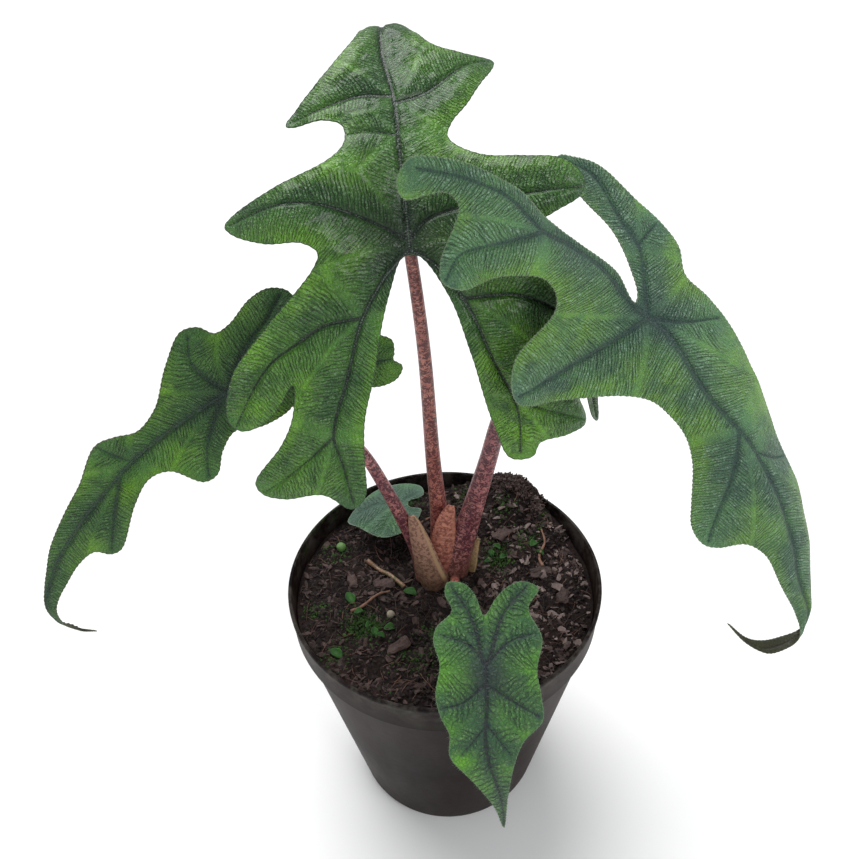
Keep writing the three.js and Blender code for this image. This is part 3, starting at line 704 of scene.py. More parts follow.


# outline: the flat blade. The petiole joins at 0,0 and the tip is at +v.
# pins: where points u,v of the flat blade stand in space, as u,v, x,y,z.
# veins: the rank and route of each vein. lime_spots: u,v, reach and strength of each bright patch.
# the last key: how far the painted shade reaches from the petiole, where the other leaves shade the
# blade.
centre_leaf = {
    "cell": 0.55,
    "outline": [
        # tip, then down the side of lower u
        (0, 158), (-4, 142), (-7, 126), (-9, 112), (-10, 99), (-13, 86), (-36, 60), (-41, 53),
        (-26, 51), (-20, 48), (-20, 40), (-26, 34), (-44, 28), (-62, 21), (-69, 16), (-66, 12),
        (-53, 7), (-39, 6), (-34, 2), (-36, -3),
        # hind lobe with two lobules
        (-56, -23), (-71, -41), (-75, -58), (-71, -62), (-64, -61), (-57, -56), (-49, -46),
        (-51, -58), (-57, -69), (-69, -83), (-67, -88), (-59, -91), (-44, -91), (-34, -98),
        (-28, -94), (-26, -80), (-24, -62), (-18, -44), (-9, -14),
        # notch at the petiole, then the other hind lobe
        (-3, -3), (3, -3), (12, -18), (18, -42), (25, -70), (31, -85), (40, -86), (43, -81),
        (55, -80), (66, -76), (64, -66), (57, -54), (54, -43), (64, -49), (73, -61), (79, -74),
        (85, -76), (88, -68), (85, -52), (76, -36), (61, -21), (44, -10), (38, -3), (43, 2),
        (54, 7), (64, 12), (66, 18), (59, 26), (44, 29), (27, 32), (18, 40), (20, 46),
        (30, 57), (43, 77), (30, 82), (18, 88), (12, 98), (10, 112), (8, 127), (4, 142),
    ],
    "pins": [
        # midrib, over the top and down behind
        (0, 0, -10, 10, 303), (0, 16, -11, 18, 317), (0, 36, -13, 30, 333), (0, 60, -15, 50, 347),
        (0, 84, -18, 71, 358), (0, 98, -18, 84, 363), (0, 112, -19, 98, 359),
        (0, 128, -20, 112, 352), (0, 143, -20, 123, 342), (0, 157, -20, 128, 329),
        (-14, 112, -33, 95, 356), (14, 112, -5, 97, 358),
        (-9, 132, -29, 114, 349), (9, 132, -11, 115, 350),
        # front lobes
        (-14, 86, -32, 68, 361), (18, 86, -1, 75, 358),
        (-20, 58, -35, 45, 345), (-38, 54, -52, 41, 340), (22, 66, 5, 58, 349), (42, 76, 23, 71, 352),
        # waist and side lobes
        (-20, 42, -33, 31, 337), (18, 42, 5, 37, 336), (-26, 34, -38, 24, 332), (26, 30, 14, 27, 330),
        (-22, 12, -32, 14, 313), (-45, 20, -55, 13, 320), (-68, 16, -77, 16, 311),
        (-40, 4, -49, 3, 307),
        (22, 12, 11, 17, 315), (44, 16, 32, 16, 322), (66, 16, 54, 18, 323), (42, 2, 31, 8, 310),
        # hind lobe of lower u
        (-14, -14, -22, 2, 291), (-20, -24, -28, -3, 282), (-45, -30, -52, -8, 275),
        (-70, -44, -76, -17, 263), (-72, -58, -77, -22, 250), (-50, -47, -56, -16, 260),
        (-28, -46, -34, -13, 261), (-37, -68, -41, -23, 241), (-66, -87, -69, -31, 222),
        (-27, -74, -31, -25, 237), (-34, -96, -36, -33, 216), (-50, -86, -53, -30, 224),
        # hind lobe of upper u
        (12, -14, 3, 2, 293), (18, -22, 10, -1, 286), (40, -24, 31, 3, 285), (56, -28, 47, 5, 280),
        (72, -42, 58, 7, 263), (83, -66, 63, 6, 236),
        (28, -48, 22, -9, 263), (16, -42, 10, -10, 269), (46, -50, 39, -5, 260),
        (33, -62, 28, -13, 250), (62, -74, 56, -8, 237), (24, -66, 19, -16, 246),
        (35, -84, 31, -20, 229),
    ],
    "veins": [
        ("main", [(0, 0), (0, 13), (0, 56), (-2, 90), (0, 125), (0, 156)]),
        ("side", [(-1, 59), (-14, 60), (-31, 56), (-40, 54)]),
        ("side", [(1, 56), (12, 60), (33, 75), (41, 77)]),
        ("minor", [(-1, 42), (-12, 44), (-19, 43)]),
        ("side", [(-1, 4), (-18, 13), (-34, 19), (-48, 20), (-67, 16)]),
        ("side", [(1, 4), (8, 10), (30, 14), (55, 15), (64, 15)]),
        ("main", [(-1, -1), (-12, -11), (-20, -24), (-29, -46), (-37, -67), (-35, -78), (-33, -95)]),
        ("side", [(-20, -24), (-35, -25), (-45, -30), (-56, -37), (-64, -47), (-72, -60)]),
        ("minor", [(-37, -67), (-48, -76), (-60, -84), (-66, -87)]),
        ("main", [(1, -1), (9, -7), (18, -21), (26, -44), (33, -60), (35, -70), (35, -83)]),
        ("side", [(18, -20), (38, -22), (52, -28), (72, -42), (83, -66), (84, -74)]),
        ("minor", [(33, -60), (44, -67), (56, -72), (64, -75)]),
    ],
    "lime_spots": [(-24, 46, 9, 0.9), (-40, -2, 12, 0.9), (-62, -30, 14, 0.7), (-48, -84, 12, 0.6),
                   (24, 44, 8, 0.7), (-64, -56, 8, 0.8), (28, -20, 10, 0.5), (-14, 92, 8, 0.5),
                   (34, -74, 15, 1.0), (26, -48, 12, 0.8), (-62, -54, 9, 0.7)],
    "rib_spacing": 1.4, "rib_slant": 0.35, "rib_height": 0.14, "pucker": 0.4, "quilt": 1.3,
    "channel": 0.8, "ridge": 0.6, "ripple": 0.7, "keel": 1.1, "tooth": 0.08, "tooth_pitch": 3.0,
    "vein_scale": 0.62, "seed": 1.0, "junction_shade": 17,
}

right_leaf = {
    "cell": 0.55,
    "outline": [
        (20, 204), (21, 190), (21, 178), (21, 166), (20, 155), (17, 146), (9, 139), (1, 127),
        (-6, 112), (-15, 96), (-22, 66), (-27, 33), (-26, 13), (-23, -2), (-28, -12), (-29, -24),
        (-28, -36), (-25, -55), (-20, -64), (-14, -70), (-9, -66), (-9, -52), (-10, -40),
        (-8, -28), (-3, -10),
        # notch, then the broad hind lobe
        (0, -8), (0, -22), (6, -40), (14, -60), (18, -74), (28, -90), (36, -98), (46, -104),
        (55, -100), (56, -94), (42, -88), (41, -82), (56, -68), (59, -62), (54, -56), (42, -54),
        (33, -49), (27, -43), (26, -36), (30, -30), (52, -27), (60, -21), (62, -14), (57, -7),
        # side lobe's lower edge, then the side with the tooth
        (40, 7), (26, 18), (19, 27), (17, 37), (18, 46), (23, 57), (34, 72), (40, 81), (41, 90),
        (37, 95), (27, 100), (23, 108), (23, 118), (26, 132), (28, 146), (29, 158), (29, 170),
        (27, 182), (24, 193),
    ],
    "pins": [
        (0, 0, 80, 4, 275), (0, 20, 92, -5, 263), (0, 40, 105, -13, 249), (0, 60, 118, -21, 236),
        (4, 90, 133, -30, 211), (12, 114, 142, -37, 189), (18, 134, 149, -41, 169),
        (23, 150, 154, -45, 154), (27, 146, 150, -45, 156), (18, 146, 156, -42, 158),
        # the thin tip turns over and curls inwards
        (24, 158, 154, -45, 145), (29, 168, 153, -43, 133), (21, 168, 150, -38, 134),
        (27, 180, 147, -38, 122), (21, 180, 144, -33, 125), (23, 192, 137, -31, 124),
        (20, 203, 130, -28, 131),
        # outer side
        (-24, 20, 109, 8, 272), (-26, 44, 124, 3, 253), (-19, 78, 137, -9, 225),
        (-8, 110, 150, -22, 198),
        # inner side
        (18, 36, 89, -13, 240), (20, 54, 100, -19, 227), (40, 86, 105, -31, 192),
        (26, 102, 125, -36, 190), (23, 120, 137, -41, 178),
        # side lobe
        (20, -2, 63, -3, 266), (40, -6, 46, -12, 261), (60, -14, 29, -26, 260),
        (24, 20, 74, -11, 249), (34, -28, 40, -12, 283), (44, 4, 44, -17, 252),
        # hind lobes
        (-8, -16, 76, 12, 290), (-20, -30, 76, 23, 305), (-27, -14, 91, 21, 297),
        (-28, -36, 77, 30, 311), (-9, -44, 59, 22, 310), (-22, -56, 60, 33, 323),
        (-14, -68, 47, 32, 327),
        (6, -30, 60, 2, 297), (16, -54, 40, -3, 313), (-1, -16, 71, 7, 288), (28, -40, 38, -9, 296),
        (40, -60, 18, -12, 308), (57, -62, 3, -15, 303), (24, -76, 24, -8, 329),
        (14, -64, 36, -1, 322), (34, -92, 8, -10, 339), (46, -102, -7, -8, 341),
        (54, -94, -9, -8, 330),
    ],
    "veins": [
        ("main", [(0, 1), (-2, 9), (1, 41), (0, 73), (3, 91), (10, 112), (17, 134), (24, 158),
                  (25, 168), (24, 180), (23, 192), (20, 203)]),
        ("side", [(-1, 1), (-9, 10), (-24, 20)]),
        ("main", [(1, 0), (20, -3), (39, -7), (53, -12), (60, -15)]),
        ("side", [(1, 57), (13, 69), (29, 82), (38, 90)]),
        ("minor", [(0, 68), (-8, 78), (-17, 86)]),
        ("main", [(0, -1), (2, -13), (6, -32), (12, -47), (18, -57), (24, -76), (33, -88), (46, -100)]),
        ("side", [(18, -57), (35, -64), (48, -67), (57, -62)]),
        ("side", [(-1, -1), (-14, -22), (-15, -32), (-19, -47), (-19, -57), (-15, -67)]),
        ("minor", [(-15, -24), (-27, -25)]),
    ],
    "lime_spots": [(8, 24, 7, 0.8), (10, 46, 7, 0.7), (-8, 40, 8, 0.4), (24, -20, 12, 0.8),
                   (30, 66, 8, 0.5), (14, 100, 7, 0.5), (20, 142, 8, 0.8), (30, -48, 10, 0.4)],
    "rib_spacing": 1.3, "rib_slant": 0.4, "rib_height": 0.1, "pucker": 0.25, "quilt": 0.8,
    "channel": 0.6, "ridge": 0.35, "ripple": 0.5, "keel": 1.1, "tooth": 0.14, "tooth_pitch": 2.0,
    "vein_scale": 0.72, "seed": 2.0, "junction_shade": 10,
}

left_leaf = {
    "cell": 0.55,
    "outline": [
        (-28, 157), (-25, 145), (-23, 132), (-20, 121), (-15, 114), (-9, 107), (-1, 96), (5, 82),
        (11, 68), (20, 50), (17, 43), (12, 36), (14, 25), (24, 9), (30, -4), (27, -10),
        (21, -13), (20, -19), (22, -32), (20, -41), (14, -46), (8, -44), (5, -36), (3, -22),
        # notch, then the narrow hind lobe
        (2, -9), (0, -9), (-1, -20), (-8, -36), (-15, -52), (-19, -61), (-25, -65), (-30, -62),
        (-32, -60), (-37, -61), (-40, -56), (-38, -49), (-30, -40), (-20, -23), (-21, -12), (-19, -1),
        (-14, 8), (-17, 17), (-23, 25), (-22, 31), (-10, 38), (-7, 46), (-11, 58), (-21, 75),
        (-20, 80), (-15, 85), (-15, 94), (-19, 106), (-24, 119), (-27, 132), (-29, 145),
    ],
    "pins": [
        (0, 0, -85, 0, 248), (2, 24, -105, -8, 237), (3, 50, -126, -18, 225), (0, 72, -141, -27, 212),
        (-4, 88, -151, -33, 200), (-12, 104, -159, -38, 185), (-20, 118, -165, -43, 171),
        # the thin tip curls inwards
        (-24, 131, -164, -42, 160), (-27, 144, -161, -38, 150), (-28, 156, -156, -34, 144),
        # upper side
        (14, 10, -101, -3, 254), (28, -6, -96, 3, 274), (18, 36, -122, -15, 245),
        (21, 50, -133, -23, 241), (12, 68, -143, -28, 224), (6, 84, -153, -33, 211),
        (-8, 108, -164, -40, 186),
        # lower side
        (-14, 12, -86, -9, 232), (-22, 28, -94, -17, 218), (-9, 44, -114, -21, 221),
        (-12, 62, -126, -28, 209), (-20, 78, -134, -34, 194), (-16, 94, -149, -36, 188),
        (-18, -8, -68, -2, 238),
        # hind lobes
        (8, -14, -79, 6, 261), (12, -30, -69, 13, 272), (16, -44, -62, 22, 281),
        (20, -24, -78, 11, 276), (4, -38, -58, 16, 270),
        (-8, -16, -68, 3, 250), (-16, -34, -49, 5, 254), (-26, -50, -30, 8, 254),
        (-30, -62, -18, 10, 258), (-20, -20, -57, 1, 243), (-37, -56, -19, 9, 249),
        (-8, -36, -52, 8, 261),
    ],
    "veins": [
        ("main", [(0, 1), (3, 25), (3, 49), (-3, 83), (-8, 100), (-17, 115), (-24, 131), (-27, 144),
                  (-28, 156)]),
        ("side", [(1, 0), (11, 2), (19, 1), (27, -5)]),
        ("side", [(0, 3), (-12, 21), (-21, 28)]),
        ("minor", [(3, 47), (11, 49), (19, 50)]),
        ("side", [(3, 53), (-10, 69), (-18, 78)]),
        ("main", [(0, -1), (5, -10), (10, -21), (12, -32), (15, -42)]),
        ("main", [(-1, 0), (-10, -22), (-21, -44), (-31, -59)]),
    ],
    "lime_spots": [(-6, 28, 7, 0.8), (-5, 56, 7, 0.8), (-12, 84, 7, 0.7), (10, 24, 6, 0.3),
                   (-34, -56, 9, 0.5)],
    "rib_spacing": 1.4, "rib_slant": 0.4, "rib_height": 0.1, "pucker": 0.25, "quilt": 0.7,
    "channel": 0.6, "ridge": 0.35, "ripple": 0.6, "keel": 1.0, "tooth": 0.12, "tooth_pitch": 2.2,
    "vein_scale": 0.75, "seed": 3.0, "junction_shade": 10,
}

front_leaf = {
    "cell": 0.5,
    "outline": [
        (-11, 78), (-11, 59), (-12, 45), (-16, 31), (-24, 22), (-23, 12), (-21, 2), (-23, -11),
        (-18, -23), (-23, -32), (-16, -35), (-9, -32), (-4, -27),
        (1, -20), (5, -29), (10, -34), (17, -34), (18, -29), (15, -22), (21, -15), (22, -9),
        (19, 1), (21, 13), (19, 21), (15, 28), (14, 37), (6, 47), (-5, 63),
    ],
    "pins": [
        (0, 0, 16, -64, 154), (0, 16, 16, -75, 143), (0, 32, 15, -85, 130), (-4, 48, 18, -92, 116),
        (-9, 62, 22, -95, 102), (-11, 76, 23, -97, 88),
        (18, 2, -2, -64, 153), (20, 20, -4, -77, 140), (12, 40, 2, -89, 124),
        (-20, 4, 36, -66, 149), (-23, 20, 38, -77, 137), (-14, 38, 28, -88, 124),
        (10, -12, 7, -53, 159), (16, -33, 2, -34, 169), (20, -14, -3, -51, 161), (8, -32, 10, -35, 168),
        (-11, -12, 28, -53, 159), (-20, -32, 37, -35, 167), (-20, -14, 37, -52, 160),
        (-9, -30, 26, -37, 167), (0, -18, 17, -48, 163),
    ],
    "veins": [
        ("main", [(0, -1), (0, 16), (0, 32), (-8, 59), (-11, 76)]),
        ("side", [(0, 0), (7, -8), (19, -12)]),
        ("side", [(0, 0), (-9, -9), (-20, -13)]),
        ("side", [(1, 8), (9, 15), (19, 18)]),
        ("side", [(0, 8), (-10, 14), (-22, 20)]),
        ("main", [(1, -1), (7, -20), (15, -32)]),
        ("main", [(-1, -1), (-7, -20), (-18, -33)]),
        ("minor", [(0, 24), (9, 36)]),
        ("minor", [(0, 24), (-11, 36)]),
    ],
    "lime_spots": [(15, 26, 5, 0.6), (9, 40, 5, 0.9), (-2, 52, 4, 0.5), (10, 6, 4, 0.3),
                   (-10, 26, 4, 0.3)],
    "rib_spacing": 2.4, "rib_slant": 0.3, "rib_height": 0.12, "pucker": 0.25, "quilt": 0.8,
    "channel": 0.5, "ridge": 0.2, "ripple": 0.5, "keel": 0.8, "tooth": 0.09, "tooth_pitch": 1.9,
    "vein_scale": 0.6, "seed": 4.0, "junction_shade": 10,
}

back_leaf = {
    "cell": 0.5,
    "outline": [
        (0, 29), (-8, 22), (-15, 12), (-18, 0), (-15, -10), (-7, -13), (-2, -5),
        (2, -5), (7, -13), (15, -11), (18, 0), (15, 12), (8, 22),
    ],
    "pins": [
        (0, 0, -22, 40, 148), (0, 14, -35, 40, 147), (0, 28, -48, 34, 143),
        (14, 6, -27, 53, 147), (-14, 6, -29, 25, 143), (8, -12, -11, 46, 149), (-8, -12, -12, 34, 148),
    ],
    "veins": [
        ("main", [(0, 0), (0, 14), (0, 27)]),
        ("side", [(0, 1), (8, 5), (15, 9)]),
        ("side", [(0, 1), (-8, 5), (-15, 9)]),
        ("side", [(0, 0), (6, -6), (10, -11)]),
        ("side", [(0, 0), (-6, -6), (-10, -11)]),
    ],
    "lime_spots": [(-10, 4, 7, 0.7)],
    "rib_spacing": 2.0, "rib_slant": 0.5, "rib_height": 0.06, "pucker": 0.15, "quilt": 0.4,
    "channel": 0.3, "ridge": 0.15, "ripple": 0.6, "keel": 0.6, "tooth": 0.05, "tooth_pitch": 3.0,
    "vein_scale": 0.5, "seed": 5.0, "junction_shade": 10,
}


def blade_looks():
    # Each look also sets painted light: sheen specks on the rib crests, a highlight along the vein
    # crests, and shade by the petiole.
    glossy = {
        "roughness": 0.36, "coat": 0.3, "coat_roughness": 0.13, "specular": 0.42, "sheen": 0.0,
        "relief": 1.0, "wander": 2.2, "junction_shade": 0.75,
        "deep": tint(42, 86, 36), "green": tint(72, 122, 44), "lime": tint(116, 176, 34),
        "line": tint(12, 32, 18), "net": 0.2, "net_scale": 700, "groove": 0.85,
        "painted_sheen": 0.6, "painted_sheen_tint": tint(122, 164, 108),
        "zone": 0.6, "zone_reach": 3.6, "vein": tint(20, 46, 30), "channel": tint(9, 26, 18),
        "channel_share": 0.9, "crest_highlight": tint(112, 134, 114), "crest_highlight_share": 0.75, "rim": 0.5,
        "margin": tint(40, 70, 38), "back": tint(74, 92, 60), "back_vein": tint(66, 58, 46),
    }
    matt = {
        **glossy, "roughness": 0.5, "coat": 0.05, "coat_roughness": 0.4, "specular": 0.35,
        "sheen": 0.08, "relief": 0.75, "wander": 1.8, "junction_shade": 0.5,
        "deep": tint(72, 108, 84), "green": tint(94, 140, 90), "lime": tint(126, 178, 54),
        "line": tint(30, 56, 46), "net": 0.25, "net_scale": 900, "groove": 0.9,
        "painted_sheen": 0.9, "painted_sheen_tint": tint(152, 186, 160),
        "zone": 0.85, "zone_reach": 3.8, "vein": tint(50, 76, 70), "channel": tint(40, 56, 58),
        "channel_share": 0.6, "crest_highlight": tint(86, 104, 98), "crest_highlight_share": 0.3, "rim": 0.6,
        "margin": tint(124, 148, 112), "back": tint(78, 82, 56), "back_vein": tint(62, 50, 42),
    }
    outer = {
        **matt, "deep": tint(52, 92, 48), "green": tint(78, 126, 54), "lime": tint(114, 168, 36),
        "line": tint(22, 44, 26), "painted_sheen": 0.8, "painted_sheen_tint": tint(116, 154, 96),
        "vein": tint(38, 60, 48), "channel": tint(30, 44, 42), "margin": tint(88, 96, 62),
    }
    low = {
        **matt, "deep": tint(52, 92, 56), "green": tint(76, 124, 58), "lime": tint(104, 172, 34),
        "line": tint(24, 44, 32), "net": 0.45, "net_scale": 560, "groove": 0.75, "painted_sheen": 0.8,
        "painted_sheen_tint": tint(124, 164, 100), "zone": 1.0, "zone_reach": 6.0, "vein": tint(40, 58, 56),
        "channel": tint(26, 32, 36), "channel_share": 0.8, "crest_highlight": tint(50, 52, 50), "rim": 0.5,
        "margin": tint(100, 128, 92), "junction_shade": 0.8,
    }
    young = {
        **matt, "deep": tint(70, 98, 82), "green": tint(86, 122, 96), "lime": tint(84, 136, 66),
        "line": tint(58, 86, 72), "painted_sheen": 0.2, "zone": 0.3, "vein": tint(68, 98, 84),
        "channel": tint(60, 86, 74), "crest_highlight": tint(112, 138, 122), "margin": tint(138, 158, 136),
        "junction_shade": 0.2,
    }
    return {"centre": glossy, "right": matt, "left": outer, "front": low, "back": young}


LEAVES = {"centre": centre_leaf, "right": right_leaf, "left": left_leaf, "front": front_leaf,
          "back": back_leaf}
BLADE_SLOTS = {"centre": "blade_gloss", "right": "blade_matt", "left": "blade_matt",
               "front": "blade_matt", "back": "blade_young"}


HAIRY = ("right", "left", "front")


def build_blades():
    looks = blade_looks()
    hairs = plain_finish("margin_hairs", tint(156, 176, 148), tint(120, 142, 110), 300, 0.6, 0.05)
    for name, leaf in LEAVES.items():
        material = blade_finish(f"blade_{name}_tissue", looks[name])
        blade(f"blade_{name}", leaf, material, BLADE_SLOTS[name])
        if name in HAIRY:
            fringe(f"hairs_{name}", leaf, hairs, BLADE_SLOTS[name])


# ---------------------------------------------------------------- petioles
# route: points from the stem to the bend. foot, low and high are radii from the base upwards, and
# reach says how soon the widened foot narrows.
PETIOLES = {
    "centre": {"route": [(-1, 20, 129), (-2, 20, 160), (-4, 20, 193), (-6, 17, 250), (-8, 14, 280)],
               "foot": 6.4, "low": 4.1, "high": 2.4, "reach": 7.0, "slot": "petiole_red"},
    "right": {"route": [(4, 12, 129), (14, 16, 165), (21, 16, 196), (26, 16, 220), (36, 17, 248),
                        (53, 17, 270), (68, 15, 276)],
              "foot": 8.4, "low": 4.9, "high": 2.6, "reach": 6.5, "slot": "petiole_purple"},
    "left": {"route": [(-8, 8, 129), (-13, 12, 145), (-20, 13, 165), (-27, 13, 185), (-35, 13, 204),
                       (-47, 12, 222), (-62, 10, 236), (-75, 9, 243)],
             "foot": 6.6, "low": 3.4, "high": 2.2, "reach": 9.0, "slot": "petiole_purple"},
    "front": {"route": [(5, 3.5, 130), (5, -8, 141), (7, -27, 147), (12, -48, 149)],
              "foot": 2.6, "low": 2.0, "high": 1.5, "reach": 9.0, "slot": "petiole_red"},
    "back": {"route": [(-10, 18, 130), (-13, 25, 137), (-17, 34, 142)],
             "foot": 2.2, "low": 1.6, "high": 1.3, "reach": 9.0, "slot": "petiole_red"},
}


def build_petioles():
    red = petiole_finish("petiole_red_skin", tint(190, 122, 108), tint(158, 90, 80),
                         tint(78, 30, 34), 0.9)
    purple = petiole_finish("petiole_purple_skin", tint(188, 124, 120), tint(146, 86, 90),
                            tint(70, 28, 40), 0.92)
    skins = {"petiole_red": red, "petiole_purple": purple}
    for name, stem in PETIOLES.items():
        place = leaf_map(LEAVES[name]["pins"])
        origin = np.zeros((1, 2))
        end = place(origin)[0] - leaf_normals(place, origin)[0] * (stem["high"] + 0.4)
        route = [*stem["route"], tuple(end)]

        def width_at(share, stem=stem):
            taper = stem["low"] + (stem["high"] - stem["low"]) * share**0.8
            return taper + (stem["foot"] - stem["low"]) * np.exp(-share * stem["reach"])

        piece = stalk(f"petiole_{name}", route, width_at)
        finished(piece, skins[stem["slot"]], stem["slot"], f"petiole_{name}")


# ---------------------------------------------------------------- pot
_, POT_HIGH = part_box("pot")
RIM_RADIUS = POT_HIGH[0] / MM
POT_HEIGHT = POT_HIGH[2] / MM
BASE_RADIUS = 50.0
WALL = 1.6
FLOOR = 2.0
BAND_BOTTOM = POT_HEIGHT - 17.0
BAND_STEP = 2.0
BAND_TAPER = 1.0
GAP = 0.35
BAND_RADIUS = RIM_RADIUS - BAND_TAPER
WALL_TOP = BAND_RADIUS - BAND_STEP
SEGMENTS = 160
DRAIN_HOLES = 8
HOLE_RADIUS = 4.5
HOLE_CIRCLE = 37
DRILL_LENGTH = 12


def turned(name, profile):
    """A ring extruded and resized along a profile of radii and heights that ends near the axis."""
    bpy.ops.object.select_all(action="DESELECT")
    radius, height = profile[0]
    start = (0, 0, height * MM)
    bpy.ops.mesh.primitive_circle_add(vertices=SEGMENTS, radius=radius * MM, location=start)
    piece = bpy.context.object
    piece.name = name
    bpy.ops.object.transform_apply(location=True)
    bpy.ops.object.mode_set(mode="EDIT")
    bpy.ops.mesh.select_all(action="SELECT")
    bpy.ops.mesh.edge_face_add()
    bpy.ops.mesh.select_all(action="SELECT")
    for next_radius, next_height in profile[1:]:
        rise = (0, 0, (next_height - height) * MM)
        bpy.ops.mesh.extrude_region_move(TRANSFORM_OT_translate={"value": rise})
        share = next_radius / radius
        bpy.ops.transform.resize(value=(share, share, 1), center_override=(0, 0, next_height * MM))
        radius, height = next_radius, next_height
    bpy.ops.mesh.select_all(action="SELECT")
    bpy.ops.mesh.normals_make_consistent(inside=False)
    bpy.ops.object.mode_set(mode="OBJECT")
    piece.data.shade_smooth()
    return piece


def drill_floor(pot):
    """Cuts the ring of drain holes through the pot's floor."""
    bpy.ops.object.select_all(action="DESELECT")
    for i in range(DRAIN_HOLES):
        angle = (i + 0.5) / DRAIN_HOLES * 2 * math.pi
        place = (HOLE_CIRCLE * MM * math.cos(angle), HOLE_CIRCLE * MM * math.sin(angle), 0)
        bpy.ops.mesh.primitive_cylinder_add(vertices=32, radius=HOLE_RADIUS * MM,
                                            depth=DRILL_LENGTH * MM, location=place)
        drill = bpy.context.object
        cut = pot.modifiers.new("drain_hole", "BOOLEAN")
        cut.operation = "DIFFERENCE"
        cut.object = drill
        bpy.context.view_layer.objects.active = pot
        bpy.ops.object.modifier_apply(modifier=cut.name)
        bpy.data.objects.remove(drill)


def build_pot():
    profile = [
        # under the floor, round the foot and up the outside
        (1.0, 0.8), (30, 0.8), (44, 0.8), (46, 0.0), (BASE_RADIUS - 1.5, 0.0),
        (BASE_RADIUS - 0.4, 0.5), (BASE_RADIUS + 0.1, 1.6),
        (BASE_RADIUS + (WALL_TOP - BASE_RADIUS) * 0.5, BAND_BOTTOM * 0.5),
        # the step of the band, and the rounded rim
        (WALL_TOP, BAND_BOTTOM - 0.6), (WALL_TOP + 0.3, BAND_BOTTOM - 0.1),
        (WALL_TOP + 1.4, BAND_BOTTOM), (BAND_RADIUS - 0.2, BAND_BOTTOM + 0.2),
        (BAND_RADIUS, BAND_BOTTOM + 0.9), (RIM_RADIUS - 0.6, POT_HEIGHT - 3.4),
        (RIM_RADIUS - 0.1, POT_HEIGHT - 2.6), (RIM_RADIUS, POT_HEIGHT - 0.8),
        (RIM_RADIUS - 0.3, POT_HEIGHT - 0.2), (RIM_RADIUS - 0.8, POT_HEIGHT),
        (RIM_RADIUS - 1.5, POT_HEIGHT - 0.2), (RIM_RADIUS - 1.8, POT_HEIGHT - 0.8),
        # down the inside and over the floor
        (BAND_RADIUS - WALL, BAND_BOTTOM + 3), (WALL_TOP - WALL, BAND_BOTTOM),
        (BASE_RADIUS - WALL, FLOOR + 0.4), (BASE_RADIUS - WALL - 1, FLOOR + 0.2),
        (1.0, FLOOR + 0.2),
    ]
    pot = turned("pot", profile)
    drill_floor(pot)
    bpy.ops.object.select_all(action="DESELECT")
    pot.select_set(True)
    bpy.context.view_layer.objects.active = pot
    bpy.ops.object.shade_smooth_by_angle(angle=math.radians(32))
    heights = np.array([v.co.z for v in pot.data.vertices]) / MM
    add_mark(pot.data, "rim", ramp(heights, BAND_BOTTOM + 2, POT_HEIGHT - 1))
    finished(pot, pot_finish(), "pot_plastic", "pot")


# ---------------------------------------------------------------- potting mix
SOIL_LEVEL = 127.5
MOUND = (36.0, 57.0)
MOUND_HEIGHT = 18.0
MOUND_WIDTH = 25.0
SHOULDER = BAND_BOTTOM + 3 + GAP
SOIL_EDGE = BAND_RADIUS - WALL - GAP
SOIL_CELLS = 250
OVER_RIM = 0.032


def soil_height(x, y):
    """The smooth mix: nearly level, and heaped over the rim at the back right."""
    heap = MOUND_HEIGHT * np.exp(-((x - MOUND[0]) ** 2 + (y - MOUND[1]) ** 2) / MOUND_WIDTH**2)
    lumps = 0.7 * np.sin(x * 0.21 + 1.7) * np.cos(y * 0.17) + 0.6 * np.sin(x * 0.13 - y * 0.19)
    return np.maximum(SOIL_LEVEL + heap + lumps, SHOULDER)


def rough_soil(x, y):
    """The mix with its clods."""
    flat = np.column_stack([x, y, np.zeros(len(x))])
    edge = ramp(np.hypot(x, y), SOIL_EDGE, SOIL_EDGE - 5)
    clods = 1.5 * grain(flat, 9.0, 2) + 1.4 * np.abs(grain(flat, 3.2, 3)) + 0.6 * grain(flat, 1.3, 2)
    return soil_height(x, y) + clods * (0.25 + 0.75 * edge)


def build_soil(material):
    """The mix: a rough disc bent from a grid, then extruded down inside the pot."""
    def place(across, along):
        x = across * np.sqrt(1 - along**2 / 2) * SOIL_EDGE
        y = along * np.sqrt(1 - across**2 / 2) * SOIL_EDGE
        over = 1 + OVER_RIM * ramp(soil_height(x, y), POT_HEIGHT, POT_HEIGHT + 1.5)
        return np.column_stack([x * over, y * over, rough_soil(x, y)])

    soil = bent_grid("soil", SOIL_CELLS, SOIL_CELLS, place, shade=lambda across, along: across * 0)
    bpy.ops.object.mode_set(mode="EDIT")
    bpy.ops.mesh.select_all(action="DESELECT")
    bpy.ops.mesh.select_non_manifold()
    last = SOIL_EDGE
    for radius, height in ((SOIL_EDGE, SHOULDER - 0.3), (WALL_TOP - WALL - GAP, BAND_BOTTOM),
                           (BASE_RADIUS - WALL - GAP, FLOOR + 1)):
        bpy.ops.mesh.extrude_region_move()
        share = radius / last
        bpy.ops.transform.resize(value=(share, share, 0), center_override=(0, 0, height * MM))
        last = radius
    bpy.ops.mesh.edge_face_add()
    bpy.ops.object.mode_set(mode="OBJECT")
    finished(soil, material, "potting_mix", "soil")


